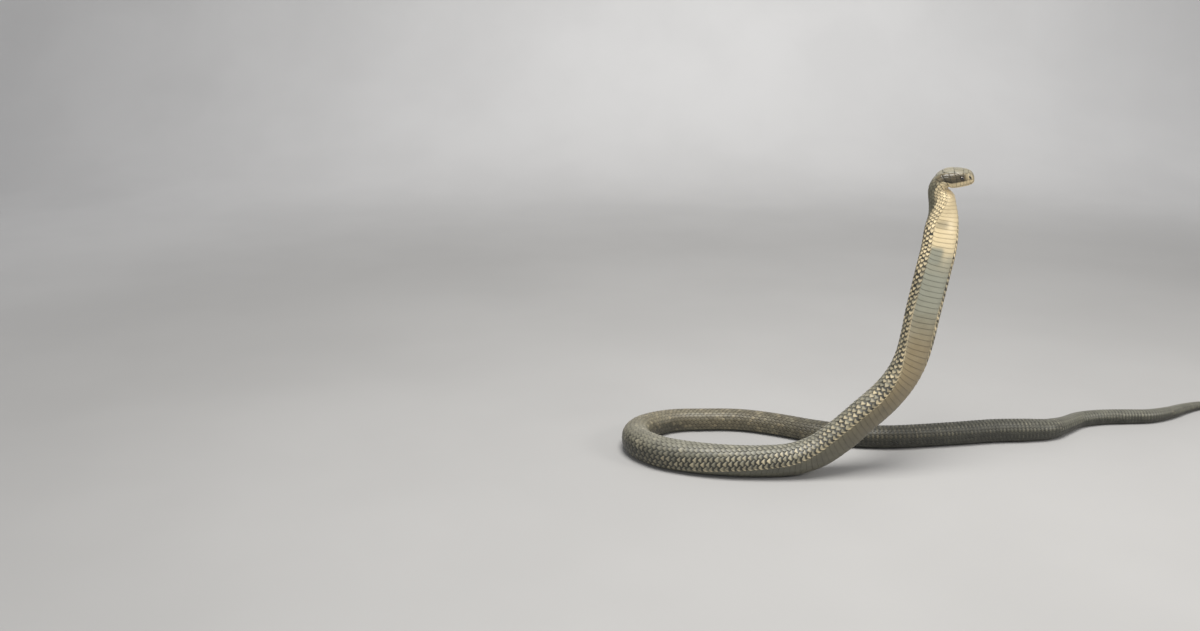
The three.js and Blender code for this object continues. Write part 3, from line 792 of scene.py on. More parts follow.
def grain_group():
    """The skin's fine grain: a height for bump, and how rough each place is"""
    inputs = [("Roughness", "NodeSocketFloat", 0.45), ("Wrinkle", "NodeSocketFloat", 0.3)]
    outputs = [("Height", "NodeSocketFloat"), ("Roughness", "NodeSocketFloat")]
    group, start, end = socketed_group("Cobra Grain", inputs, outputs)
    plate = node(group, "ShaderNodeAttribute", attribute_name="plate")
    along = node(group, "ShaderNodeSeparateColor", [("Color", plate.outputs["Color"])]).outputs[0]
    fine = noise(group, FINE_GRAIN_SCALE, 3.0)
    broad = noise(group, BROAD_GRAIN_SCALE, 3.0)
    lines = math_node(group, "SINE", math_node(group, "MULTIPLY", along, WRINKLES))
    wrinkles = math_node(group, "MULTIPLY", lines, math_node(group, "MULTIPLY", broad, 0.25))
    height = math_node(group, "ADD", fine, math_node(group, "MULTIPLY", broad, 1.2))
    height = math_node(group, "MULTIPLY_ADD", wrinkles, start.outputs["Wrinkle"], height)
    swing = math_node(group, "MULTIPLY", math_node(group, "SUBTRACT", broad, 0.5), 0.3)
    rough = math_node(group, "ADD", start.outputs["Roughness"], swing)
    group.links.new(height, end.inputs["Height"])
    group.links.new(rough, end.inputs["Roughness"])
    return group


GROUPS = {"Cobra Pigment and Painted Light": pigment_and_painted_light_group, "Cobra Plate": plate_group,
          "Cobra Dust and Sheen": dust_and_sheen_group, "Cobra Grain": grain_group}


def use_group(tree, name, links):
    """A shared node group in a material, built the first time it is used"""
    group = bpy.data.node_groups.get(name) or GROUPS[name]()
    return node(tree, "ShaderNodeGroup", links, node_tree=group)


def rgba(colour):
    return (*colour, 1.0)


def new_material(name):
    """A material with its node tree and its shader"""
    made = bpy.data.materials.new(name)
    made.use_nodes = True
    return made, made.node_tree, made.node_tree.nodes["Principled BSDF"]


def hide_material(name, rim, tint, dust_and_sheen, roughness, wrinkle, bump, coat):
    """The finish of skin, scales, scutes or shields: pigment, plate shading, dust with painted sheen, and
    grain
    """
    colours = bpy.context.scene.cobra_colours
    made, tree, shader = new_material(name)
    pigment_and_painted_light = use_group(tree, "Cobra Pigment and Painted Light", [
        ("Olive", rgba(colours.olive)), ("Pale", rgba(colours.pale)), ("Warm", rgba(colours.warm)),
        ("Slate", rgba(colours.slate)), ("Dark", rgba(colours.dark))])
    plate = use_group(tree, "Cobra Plate", [
        ("Color", pigment_and_painted_light.outputs["Color"]), ("Rim Color", rgba(colours.between)),
        ("Rim", rim), ("Tint", tint)])
    mask = use_group(tree, "Cobra Dust and Sheen", [("Amount", dust_and_sheen)])
    # Paler where the surface faces up: partly dust, partly painted sheen of light from above
    colour = mixed(tree, mask.outputs["Mask"], plate.outputs["Color"], rgba(colours.dust_and_sheen))
    grain = use_group(tree, "Cobra Grain", [("Roughness", roughness), ("Wrinkle", wrinkle)])
    relief = node(tree, "ShaderNodeBump", [
        ("Height", grain.outputs["Height"]), ("Strength", bump), ("Distance", BUMP_DEPTH)])
    tree.links.new(colour, shader.inputs["Base Color"])
    tree.links.new(grain.outputs["Roughness"], shader.inputs["Roughness"])
    tree.links.new(relief.outputs["Normal"], shader.inputs["Normal"])
    shader.inputs["Coat Weight"].default_value = coat
    shader.inputs["Coat Roughness"].default_value = COAT_ROUGHNESS
    shader.inputs["Specular IOR Level"].default_value = 0.5
    return made


def eye_material():
    """A round black pupil in a dark bronze iris, under a wet clear surface"""
    colours = bpy.context.scene.cobra_colours
    made, tree, shader = new_material("cobra_eye")
    gaze = node(tree, "ShaderNodeAttribute", attribute_name="gaze")
    parts = node(tree, "ShaderNodeSeparateColor", [("Color", gaze.outputs["Color"])])
    off_axis, turn = parts.outputs[:2]
    rays = node(tree, "ShaderNodeCombineXYZ", [
        (0, math_node(tree, "MULTIPLY", turn, IRIS_RAYS)),
        (1, math_node(tree, "MULTIPLY", off_axis, IRIS_RINGS))])
    streaks = noise(tree, 1.0, 3.0, rays.outputs[0])
    bright = ramped(tree, streaks, *NOISE_SPAN)
    iris = mixed(tree, bright, rgba(colours.iris_deep), rgba(colours.iris))
    iris = mixed(tree, ramped(tree, off_axis, *IRIS_EDGE), iris, rgba(colours.between))
    edge = bpy.context.scene.cobra_sizes.pupil
    pupil = ramped(tree, off_axis, edge + PUPIL_SOFT, edge - PUPIL_SOFT)
    tree.links.new(mixed(tree, pupil, iris, PUPIL_BLACK), shader.inputs["Base Color"])
    shader.inputs["Roughness"].default_value = 0.12
    shader.inputs["Coat Weight"].default_value = 1.0
    shader.inputs["Coat Roughness"].default_value = 0.02
    return made


FINISHES = {
    "cobra_skin": dict(
        rim=0.85, tint=0.0, dust_and_sheen=0.3, roughness=0.6, wrinkle=0.0, bump=0.4, coat=0.0),
    "cobra_dorsal_scales": dict(
        rim=0.75, tint=0.5, dust_and_sheen=0.6, roughness=0.48, wrinkle=0.3, bump=0.25, coat=0.08),
    "cobra_ventral_scutes": dict(
        rim=0.14, tint=0.12, dust_and_sheen=0.12, roughness=0.38, wrinkle=1.0, bump=0.2, coat=0.15),
    "cobra_head_shields": dict(
        rim=0.5, tint=0.15, dust_and_sheen=0.6, roughness=0.4, wrinkle=0.2, bump=0.22, coat=0.2),
}


def finish(name):
    """A finish from the table, or the eye's, made the first time it is asked for"""
    made = bpy.data.materials.get(name)
    if made:
        return made
    return hide_material(name, **FINISHES[name]) if name in FINISHES else eye_material()


def finished(piece, material_name):
    """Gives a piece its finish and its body"""
    piece.data.materials.append(finish(material_name))
    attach(piece, "root")
    return piece


# Skin
FLESH = ["head", "neck", "forebody_upper", "forebody_lower", "midbody_front", "bend_near", "bend_far",
         "midbody_rear", "hindbody_front", "hindbody_rear", "tail_base", "tail_middle", "tail_tip"]
SKIN_COLUMNS = 120
SKIN_FLOOR = 0.8
TIP_LENGTH = 4
# Most of the body's half width that the skin lies in, and its share of that depth on the head
SKIN_MOST = 0.35
HEAD_SKIN = 0.35
HEAD_SKIN_FADE = (60, 90)
# Millimetres of depth, width and wall of what is sunk in the skin, and of the ridge round each eye
MOUTH_DEPTH = 1.7
MOUTH_WIDTH = 0.9
SOCKET_DEPTH = 2.6
SOCKET_WALL = (1.3, 0.2)
RIDGE_HEIGHT = 1.1
RIDGE_WIDTH = 0.5
NOSTRIL_DEPTH = 2.4
NOSTRIL_WALL = (1.1, 0.3)
# Skin shaded as the rim between the scales, and less so where it is pale
SKIN_RIM = 0.8
PALE_SKIN_RIM = 0.35


def skin_distances():
    """Where the skin's rings lie: close together on the head, wider along the body"""
    return np.concatenate([
        [0.0, 0.25, 0.6, 1.0, 1.5], np.arange(2.0, 72, 0.8), np.arange(72, HEAD_LENGTH, 1.5),
        np.arange(HEAD_LENGTH, LENGTH - TIP_LENGTH, 5.2),
        [LENGTH - TIP_LENGTH, LENGTH - 1.5, LENGTH]])


def eye_place(side):
    """Distance and way round of the eye's middle, on the skin"""
    return EYE_DISTANCE, side * EYE_AROUND


def nostril_place(side):
    return NOSTRIL[0], side * NOSTRIL[1]


def eye_opening():
    """Radius of the opening that the eye looks out of"""
    return bpy.context.scene.cobra_sizes.eye_radius / MM * EYE_OPENING


def skin_lift(d, share, depth):
    """How far the bare skin lies above the body's surface: sockets, nostrils and mouth sunk in"""
    around = share * half_girth(d)
    mouth = mouth_arc(d)
    shut = 1 - smooth(d, *MOUTH_FADE)
    off_mouth = np.abs(np.abs(around) - mouth)
    lift = -depth - MOUTH_DEPTH * np.exp(-(off_mouth / MOUTH_WIDTH) ** 2) * shut * smooth(d, 0, 3)
    opening = eye_opening()
    wall = (opening - SOCKET_WALL[0], opening - SOCKET_WALL[1])
    nostril_wall = (NOSTRIL_RADIUS - NOSTRIL_WALL[0], NOSTRIL_RADIUS + NOSTRIL_WALL[1])
    for side in (1, -1):
        gap = off_centre(d, around, eye_place(side))
        lift = lift - SOCKET_DEPTH * (1 - smooth(gap, *wall))
        lift = lift + RIDGE_HEIGHT * np.exp(-((gap - opening) / RIDGE_WIDTH) ** 2)
        gap = off_centre(d, around, nostril_place(side))
        lift = lift - NOSTRIL_DEPTH * (1 - smooth(gap, *nostril_wall))
    return lift


def build_skin():
    """The skin under the scales, closed to a point at the snout and at the tail's tip"""
    distances = skin_distances()
    piece, row, column = grid_sheet("cobra_skin", len(distances) - 1, SKIN_COLUMNS)
    mesh = piece.data
    d = distances[row]
    share = column / SKIN_COLUMNS * 2 - 1
    depth = bpy.context.scene.cobra_sizes.skin_depth / MM
    thin = np.minimum(depth, SKIN_MOST * read(GIRTH_TABLE, 1, d))
    thin = thin * (HEAD_SKIN + (1 - HEAD_SKIN) * smooth(d, *HEAD_SKIN_FADE))
    lift = np.where(d < HEAD_LENGTH, skin_lift(d, share, thin), -thin)
    places = on_body(d, share, lift, SKIN_FLOOR)
    places[row == 0] = on_body(np.zeros(1), np.zeros(1))[0]
    last = np.array([LENGTH])
    middle = skin_point(last, np.zeros(1), -read(GIRTH_TABLE, 2, last))[0] * MM
    places[row == len(distances) - 1] = middle
    set_places(mesh, places)
    corners = corner_vertices(mesh)
    face_middle = d[corners].reshape(-1, 4).min(axis=1) + 0.01
    strip = np.repeat(strip_at(face_middle), 4)
    set_unwrap(mesh, unwrap(d[corners], share[corners], strip))
    marks = markings(d, share)
    set_attribute(mesh, "pigment_and_painted_light", marks)
    set_attribute(mesh, "plate", plate_values(d.shape, 0.0, SKIN_RIM - PALE_SKIN_RIM * marks[:, 0], 0.5))
    close_piece()
    mesh.shade_smooth()
    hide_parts(*FLESH)
    finished(piece, "cobra_skin")


# Dorsal scales. Distance and the length of a row of scales there
SCALE_PITCH = [(66, 6.2), (110, 7.4), (180, 9.5), (300, 12), (450, 12.8), (800, 12.6), (1000, 11.8),
               (1400, 11.4), (1900, 10.6), (2400, 9.6), (2700, 8.4), (2950, 7.2), (3160, 5.0)]
SCALE_START = 60
SCALE_END_GAP = 9
# Where the first scales are sunk under the rearmost shields, by distance and millimetres round
NAPE_EDGE = (64, 73)
NAPE_SIDE = (37, 43)
NAPE_SINK = 0.8
# Lanes of scales from the spine outwards, where some of them end, how many rows that takes, the
# least width of a lane that still has scales, and the least width of a scale
LANES = 12
LANE_ENDS = {6: 135, 8: 190, 4: 290, 9: 500, 5: 2440, 2: 2560, 10: 2680, 3: 2830, 7: 2990}
LANE_FADE = 3.0
LANE_LEAST = 0.15
LANE_NARROW = 0.5
OUTERMOST = 0.93
# A scale less high than this in metres is pressed flat on the floor, and is left out
FLATTENED = 0.00005
# Distance and half the belly scutes' width there, and how far the outermost scales lie over them
VENTRAL_WIDTH = [(66, 7), (78, 12), (100, 21), (130, 27), (160, 31)]
VENTRAL_LAP = 0.8
# A scale: how much of its length lies before its root, how far its sides bow back, how deep its root
# is sunk, its dome and its thickness in millimetres, and the half width that has all of these
SCALE_AHEAD = 0.32
SCALE_BOW = 0.10
SCALE_ROOT = 0.95
SCALE_DOME = 0.22
SCALE_THICKNESS = 0.9
FULL_SCALE = 5.5
SMALLEST_SCALE = 0.35
SCALE_SECTIONS = [
    ("scales_neck", 60, 330, "throat_skin"),
    ("scales_forebody", 330, 880, "back_skin"),
    ("scales_near_bend", 880, 1470, "back_skin"),
    ("scales_midbody", 1470, 2090, "back_skin"),
    ("scales_hindbody", 2090, 2700, "back_skin"),
    ("scales_tail", 2700, 3200, "tail_skin"),
]


def ventral_half(d):
    """Half the belly scutes' width in millimetres round the body"""
    widest = half_girth(d) * VENTRAL_SHARE
    return np.minimum(level(VENTRAL_WIDTH, d), widest)


def lane_weights(d):
    """How wide each lane is, from 1 to 0 where it ends"""
    pitch = level(SCALE_PITCH, d)
    weights = np.ones((LANES, len(d)))
    for lane, end in LANE_ENDS.items():
        weights[lane] = 1 - smooth(d, end - LANE_FADE * pitch, end)
    return weights


def row_numbers():
    """How many scales lie between the nape and each distance"""
    d = np.arange(SCALE_START, LENGTH, 0.5)
    return d, np.cumsum(0.5 / level(SCALE_PITCH, d))


def scale_roots():
    """Distance, share, half width, lane, row and outermost or not of one side's dorsal scales"""
    table_d, table_rows = row_numbers()
    weights = lane_weights(table_d)
    total = weights[0] / 2 + weights[1:].sum(axis=0)
    edge = 1 - (ventral_half(table_d) - VENTRAL_LAP) / half_girth(table_d)
    pitch = level(SCALE_PITCH, table_d)
    found = []
    for lane in range(LANES):
        phase = 0.5 * (lane % 2) + np.zeros(len(table_d))
        for other, end in LANE_ENDS.items():
            if other < lane:
                phase = phase + 0.5 * smooth(table_d, end - LANE_FADE * pitch, end + LANE_FADE * pitch)
        rows = table_rows - phase
        numbers = np.arange(1, int(rows[-1]))
        d = np.interp(numbers, rows, table_d)
        weight = np.interp(d, table_d, weights[lane])
        inner = weights[0] / 2 + weights[1:lane].sum(axis=0) if lane else weights[0] * 0
        middle = (inner + (weights[lane] / 2 if lane else 0)) / total
        share = np.interp(d, table_d, middle * edge)
        wide = np.maximum(weight, LANE_NARROW)
        half = wide / 2 * np.interp(d, table_d, edge * half_girth(table_d) / total)
        keep = (weight > LANE_LEAST) & (d < LENGTH - SCALE_END_GAP)
        lanes = np.full(len(d), lane)
        outer = np.interp(d, table_d, middle) > OUTERMOST
        found.append(np.stack([d, share, half, lanes, numbers, outer], axis=1)[keep])
    return np.concatenate(found)


def leaf_width(along):
    """A scale's half width along its length: narrow root, widest before its middle, round tip"""
    root = 0.35 + 0.65 * np.sin(np.clip(along / 0.5, 0, 1) * math.pi / 2)
    tip = 1 - 0.68 * np.clip((along - 0.5) / 0.5, 0, 1) ** 1.7
    return root * tip


def place_scales(roots, template, draw, rise):
    """Copies the scale on each root: rows of distance, share, half width, length, tint and sink"""
    along, across, top, faces = template
    d0, share0, half, length, tint, sink = (roots[:, i, None] for i in range(6))
    lean = draw.normal(0, 0.025, d0.shape)
    bow = SCALE_BOW * across**2 * np.clip(along - 0.4, 0, 1) / 0.6
    x = (along - SCALE_AHEAD - bow)[None, :] * length
    y = across * leaf_width(along) * half + lean * x
    d = d0 + x
    share = share0 + y / half_girth(d0)
    slope = -SCALE_ROOT + (SCALE_ROOT + rise) * along**0.75
    dome = SCALE_DOME * (1 - across**2) - 0.14 * np.abs(across) ** 6
    dome = dome - 0.2 * smooth(along, 0.9, 1.0)
    size = np.clip(half / FULL_SCALE, SMALLEST_SCALE, 1.0)
    lift = (slope + dome)[None, :] * size + draw.normal(0, 0.05, d0.shape)
    lift = lift - sink
    lift = np.where(top[None, :] > 0.5, lift, lift - SCALE_THICKNESS * size)
    places = on_body(d, share, lift)
    root_uv = unwrap(d0, share0, strip_at(d0))
    patch = np.stack([(along - 0.5) * PATCH, across * PATCH / 2], axis=-1)
    plate = plate_values(d.shape, along, np.abs(across), tint)
    return places, faces, root_uv + patch, plate, d


# Marks of single scales: how light the flank's light scales are, where the flank and the middle of
# the side carry them, the pale outermost row, the stray light scales, and the lines of the hind body
CHECKER_LIGHT = [(0, 0.62), (600, 0.5), (900, 0.4), (1200, 0.34), (3200, 0.3)]
CHECKERED_FLANK = (0.34, 0.5)
CHECKERED = (150, 1260, 60)
CHECKERED_SIDE = (0.1, 0.3)
FAINTLY_CHECKERED = (500, 1260, 80)
FAINT = 0.5
LIGHT_FROM = (0.56, 0.68)
DARK_UP_TO = (0.5, 0.62)
PALE_ROW = (300, 1100, 50)
FLECKED = 0.13
FLECKS = (450, 1850, 150)
FLECK_LIGHT = 0.2
LINED_FROM = (1750, 1950)
LINED = 0.22


def checkered(pigment_and_painted_light, roots, along, across, draw):
    """Low on the flanks each scale is light with a dark root, so that light and dark take turns"""
    d, share, outer, side = (roots[:, i, None] for i in range(4))
    low = smooth(np.abs(share), *CHECKERED_FLANK) * band(d, *CHECKERED)
    faint = smooth(np.abs(share), *CHECKERED_SIDE) * band(d, *FAINTLY_CHECKERED) * FAINT
    low = np.maximum(low, faint)
    uneven = np.clip(draw.normal(1, 0.3, (2, *d.shape)), 0.1, 1.5)
    light = low * uneven[0] * smooth(along, *LIGHT_FROM)[None, :] * level(CHECKER_LIGHT, d)
    root = low * uneven[1] * (1 - smooth(along, *DARK_UP_TO))[None, :]
    pale_edge = outer * smooth(across[None, :] * side, 0.2, 0.7) * band(d, *PALE_ROW)
    flecks = (draw.random(d.shape) < FLECKED) * FLECK_LIGHT * band(d, *FLECKS)
    light = np.maximum(light, flecks)
    pigment_and_painted_light[..., 0] = np.clip(np.maximum(pigment_and_painted_light[..., 0], light) + pale_edge * 0.4, 0, 1)
    pigment_and_painted_light[..., 3] = np.clip(pigment_and_painted_light[..., 3] + root * 0.7 - pale_edge * 0.6 - flecks, 0, 1)
    return pigment_and_painted_light


def lined(pigment_and_painted_light, d, draw):
    """Fine light and dark lines run round the hind body and the tail, one of each to a row"""
    table_d, table_rows = row_numbers()
    turn = 2 * math.pi * np.interp(d, table_d, table_rows)
    uneven = np.clip(draw.normal(1, 0.35, (len(d), 1)), 0.2, 1.8)
    line = np.cos(turn) * smooth(d, *LINED_FROM) * LINED * uneven
    pigment_and_painted_light[..., 3] = np.clip(pigment_and_painted_light[..., 3] + line, 0, 1)
    pigment_and_painted_light[..., 0] = np.clip(pigment_and_painted_light[..., 0] - line * 0.4, 0, 1)
    return pigment_and_painted_light


def mirrored(roots):
    """The same places on the other side"""
    other = roots.copy()
    other[:, 1] *= -1
    return other


def marks_of(roots, d):
    """The markings at each plate's root, for all its vertices"""
    return markings(roots[:, 0], roots[:, 1])[:, None, :] + np.zeros((*d.shape, 1))


def build_dorsal_scales():
    """Six lengths of scales, in lanes from the spine outwards on both sides"""
    sizes = bpy.context.scene.cobra_sizes
    draw = np.random.default_rng(sizes.seed)
    template = plate_template("scale", 6, 5)
    along, across = template[:2]
    left = scale_roots()
    right = mirrored(left[left[:, 3] > 0])
    sides = np.concatenate([np.ones(len(left)), -np.ones(len(right))])
    roots = np.concatenate([left, right])
    for name, low, high, slot in SCALE_SECTIONS:
        keep = (roots[:, 0] >= low) & (roots[:, 0] < high)
        part, side = roots[keep], sides[keep]
        d0 = part[:, 0]
        pitch = level(SCALE_PITCH, d0)
        jitter = draw.normal(1, 0.03, (3, len(part)))
        half = part[:, 2] * sizes.scale_width * jitter[0]
        length = pitch * sizes.scale_overlap * jitter[1]
        tint = np.clip(draw.normal(0.5, 0.22, len(part)), 0, 1)
        around = np.abs(part[:, 1]) * half_girth(d0)
        sink = NAPE_SINK * (1 - smooth(d0, *NAPE_EDGE)) * (1 - smooth(around, *NAPE_SIDE))
        made = np.stack([d0, part[:, 1], half, length, tint, sink], axis=1)
        places, faces, uv, plate, d = place_scales(made, template, draw, sizes.scale_rise / MM)
        keys = np.stack([d0, part[:, 1], part[:, 5], side], axis=1)
        marks = lined(checkered(marks_of(part, d), keys, along, across, draw), d, draw)
        whole = np.ptp(places[..., 2], axis=1) > FLATTENED
        piece = joined_copies(name, places[whole], faces, uv[whole], plate[whole], marks[whole])
        finished(piece, "cobra_dorsal_scales")


# Belly scutes
SCUTE_START = 68
SCUTE_SECTIONS = [
    ("scutes_throat", SCUTE_START, 330, "throat_skin"),
    ("scutes_forebody", 330, 1130, "back_skin"),
    ("scutes_belly", 1130, VENT, "back_skin"),
]
TAIL_SINGLE = 15
# A scute: its length in row pitches, how much of that lies before its root, how deep its root is sunk
# and its thickness in millimetres, and the width that has all of these
SCUTE_OVERLAP = 1.42
SCUTE_AHEAD = 0.3
SCUTE_ROOT = 0.5
SCUTE_THICKNESS = 1.0
WIDE_SCUTE = 24
SMALLEST_SCUTE = 0.4
SCUTE_RIM = 0.9
# Paired scutes: half the gap between the two, and how far one is ahead of the middle of the pair
PAIR_GAP = 0.25
PAIR_SHIFT = 0.8


def scute_rows(low, high):
    """Distances of the scutes' roots, one to a row of scales"""
    table_d, table_rows = row_numbers()
    first, last = np.interp([low, high], table_d, table_rows)
    return np.interp(np.arange(math.ceil(first), last), table_rows, table_d)


def place_scutes(roots, inner, outer, template, draw, rise):
    """Plates across the belly, each from one way round to another, in millimetres off its midline"""
    along, across, top, faces = template
    d0 = roots[:, None]
    pitch = level(SCALE_PITCH, d0)
    length = pitch * SCUTE_OVERLAP * draw.normal(1, 0.015, d0.shape)
    reach = (across + 1)[None, :] / 2
    off = inner[:, None] + (outer - inner)[:, None] * reach
    ends = np.abs(across)
    corner = 0.16 * ends**6 * np.clip(along - 0.35, 0, 1) + 0.10 * ends**4
    x = (along - SCUTE_AHEAD - corner * 1.3 + 0.03 * (1 - across**2) * along)[None, :] * length
    d = d0 + x
    share = 1 - off / half_girth(d0)
    slope = -SCUTE_ROOT + (SCUTE_ROOT + rise) * along**0.8
    edge = -0.3 * ends**8 - 0.15 * smooth(along, 0.88, 1.0)
    size = np.clip(np.abs(outer - inner)[:, None] / WIDE_SCUTE, SMALLEST_SCUTE, 1.0)
    lift = (slope + edge)[None, :] * size + draw.normal(0, 0.04, d0.shape)
    lift = np.where(top[None, :] > 0.5, lift, lift - SCUTE_THICKNESS * size)
    places = on_body(d, share, lift)
    tint = np.clip(draw.normal(0.5, 0.2, d0.shape), 0, 1)
    plate = plate_values(d.shape, along, ends * SCUTE_RIM, tint)
    return places, faces, unwrap(d, folded(share), strip_at(d0)), plate, markings(d, share)


def build_belly_scutes():
    """Single scutes down to the vent, then single ones under the tail, and paired ones behind them"""
    sizes = bpy.context.scene.cobra_sizes
    draw = np.random.default_rng(sizes.seed + 1)
    rise = sizes.scute_rise / MM
    wide = plate_template("scute", 5, 18)
    for name, low, high, slot in SCUTE_SECTIONS:
        roots = scute_rows(low, high)
        half = ventral_half(roots)
        made = place_scutes(roots, half, -half, wide, draw, rise)
        finished(joined_copies(name, *made), "cobra_ventral_scutes")
    narrow = plate_template("subcaudal", 4, 8)
    roots = scute_rows(VENT, LENGTH - SCALE_END_GAP)
    single, paired = roots[:TAIL_SINGLE], roots[TAIL_SINGLE:]
    half = ventral_half(single)
    parts = [place_scutes(single, half, -half, narrow, draw, rise)]
    half = ventral_half(paired)
    gap = np.full(len(paired), PAIR_GAP)
    for shift, inner, outer in ((PAIR_SHIFT, half, gap), (-PAIR_SHIFT, -gap, -half)):
        parts.append(place_scutes(paired + shift, inner, outer, narrow, draw, rise))
    joined = [np.concatenate([part[i] for part in parts]) for i in (0, 2, 3, 4)]
    piece = joined_copies("scutes_tail", joined[0], narrow[3], *joined[1:])
    finished(piece, "cobra_ventral_scutes")


# Head shields: outlines as distance from the snout's tip and millimetres round from the crown's
# midline. A lip scale is measured up from the mouth line, a jaw scale down from it, and a chin
# shield from the chin's midline
CROWN = {
    "internasal": [(2.8, 0.35), (11.8, 0.4), (12.0, 9.6), (8.2, 9.4), (4.4, 6.7), (3.1, 4.2)],
    "prefrontal": [(12.6, 0.4), (21.9, 0.4), (22.0, 7.0), (21.6, 13.8), (15.8, 14.0), (12.7, 10.6)],
    "supraocular": [(22.6, 7.5), (34, 5.9), (42.2, 3.9), (42.9, 9.2), (40, 17.4), (34, 22.2), (30.5, 25.4),
                    (27, 26.2), (24, 24.6), (22.8, 19.8)],
    "parietal": [(44.2, 0.4), (59, 0.4), (59.6, 8), (57.6, 16.6), (50.5, 20.2), (43.5, 18.6), (43.6, 9.6),
                 (42.9, 3.6)],
    "occipital": [(59.8, 0.4), (67.5, 0.4), (69, 6), (66.8, 12.6), (60.4, 12.8), (60.3, 8.2)],
    "prenasal": [(3.2, 8.3), (4.7, 7.2), (8.5, 10.0), (8.9, 24.9), (7.1, 23.4), (4.6, 20.2), (3.2, 17.6),
                 (2.1, 13.5), (2.4, 10.5)],
    "postnasal": [(9.4, 10.2), (12.4, 11.2), (15.2, 14.8), (15.2, 29.6), (9.6, 25.3)],
    "preocular": [(15.9, 14.9), (21.8, 14.6), (22.6, 20.4), (23.6, 25.4), (23.4, 29), (22.6, 32.6),
                  (16.0, 30.1)],
    "upper_postocular": [(34.3, 22.9), (39.6, 18.6), (41.6, 20.6), (38.8, 27.6), (30.6, 27.2), (30.9, 25.9)],
    "middle_postocular": [(31.0, 28.0), (38.7, 28.4), (38.5, 33.2), (30.6, 32.2)],
    "lower_postocular": [(30.0, 33.0), (38.4, 34.0), (37.8, 38.0), (31.0, 36.8), (28.6, 34.6)],
    "front_upper_temporal": [(42.6, 19.8), (50.8, 21.2), (52.4, 22.4), (51.4, 29.9), (39.5, 28.8)],
    "front_lower_temporal": [(39.4, 29.6), (51.3, 30.8), (50.3, 41.6), (38.7, 38.6)],
    "rear_upper_temporal": [(51.4, 21.0), (58, 17.6), (61.2, 20.0), (62.2, 29.4), (52.2, 30.0), (53.1, 22.4)],
    "rear_lower_temporal": [(52.0, 30.9), (62.2, 30.3), (60.6, 41.2), (51.1, 41.6)],
    "nape_inner": [(60.8, 13.6), (67.2, 13.4), (69.5, 18.6), (62, 19.6), (58.8, 17.2)],
    "nape_middle": [(62, 20.4), (69.8, 19.6), (70.6, 27.6), (63, 29.2)],
    "nape_outer": [(63, 30.1), (70.6, 28.5), (70.2, 36.6), (61.5, 40.6)],
}
FRONTAL = [(22.6, -6.6), (22.6, 6.6), (33, 5.1), (42.2, 2.9), (43.7, 0), (42.2, -2.9), (33, -5.1)]
LIP_ENDS = [1.2, 9.5, 16.5, 23, 30.5, 39, 49, 60]
LIP_TOPS = [4.2, 8.8, 10.0, 11.5, 12.2, 12.8, 14.2, 12]
JAW_ENDS = [8.4, 13, 19, 26, 34, 43, 52, 61]
JAW_DEPTHS = [7, 8, 8.6, 9, 9.2, 9.2, 8.6, 7]
# Half the gap between two scales of a row, and how far their edge away from the mouth lies back
LIP_GAP = 0.3
LIP_SHIFT = 0.5
JAW_GAP = 0.25
JAW_SHIFT = -0.8
MOUTH_GAP = 0.5
LIP_POINTS = 4
# The foremost shields, seen from in front: millimetres across and up from the head's line
ROSTRAL = [(0, 6.3), (-3.8, 6.5), (-6.3, 7.7), (-7.4, 6.2), (-9.1, 2.6), (-9.8, -1.5), (-8.8, -5.5),
           (-3.2, -5.3), (0, -4.5), (3.2, -5.3), (8.8, -5.5), (9.8, -1.5), (9.1, 2.6), (7.4, 6.2),
           (6.3, 7.7), (3.8, 6.5)]
MENTAL = [(-5.4, -7.0), (5.4, -7.0), (3.2, -10.4), (0, -12.9), (-3.2, -10.4)]
FIRST_JAW = [(6.1, -7.0), (16.5, -8.5), (11.8, -12.5), (9.2, -14.3), (6.6, -14.9), (0.4, -15.3),
             (0.4, -13.5), (3.8, -10.5)]
CHIN = {
    "front_chin": [(10.9, 0.4), (23.6, 0.4), (24.4, 5.5), (22.6, 10.6), (15, 13.6), (9.8, 10.4), (9.4, 7)],
    "rear_chin": [(24.4, 0.5), (36.5, 0.9), (38.5, 4.5), (34, 8.6), (25.5, 8.8), (25.2, 5.5)],
}
SHIELD_RIM = 72
SHIELD_GROWTH = 0.15
NOSTRIL_CLEAR = 0.15
SHIELD_RINGS = (0.45, 0.8, 0.95, 1.0)
CORNER_CUT = 0.7
CORNER_MOST = 0.35
# Millimetres of dome to one of width, and at most; how far the rim drops, and the underside's depth
DOME_SHARE = 0.02
DOME_MOST = 0.2
RIM_DROP = 0.22
SHIELD_ROOT = -1.5


def lip_row(ends, heights, gap, shift, way):
    """A row of scales along the mouth line, above it if the way is -1 and below it if it is 1"""
    shields = []
    for i in range(len(ends) - 1):
        front, rear = ends[i] + gap, ends[i + 1] - gap
        near = [(d, way * MOUTH_GAP) for d in np.linspace(front, rear, LIP_POINTS)]
        line = np.linspace(rear, front, LIP_POINTS) + shift
        tall = np.linspace(heights[i + 1], heights[i], LIP_POINTS)
        far = [(d, way * height) for d, height in zip(line, tall)]
        shields.append([(d, float(mouth_arc(d)) + off) for d, off in near + far])
    return shields


def side_shields():
    """Outlines of all the shields of one side"""
    shields = list(CROWN.values())
    shields += lip_row(LIP_ENDS, LIP_TOPS, LIP_GAP, LIP_SHIFT, -1)
    shields += lip_row(JAW_ENDS, JAW_DEPTHS, JAW_GAP, JAW_SHIFT, 1)
    for outline in CHIN.values():
        shields.append([(d, float(half_girth(d)) - off) for d, off in outline])
    return shields


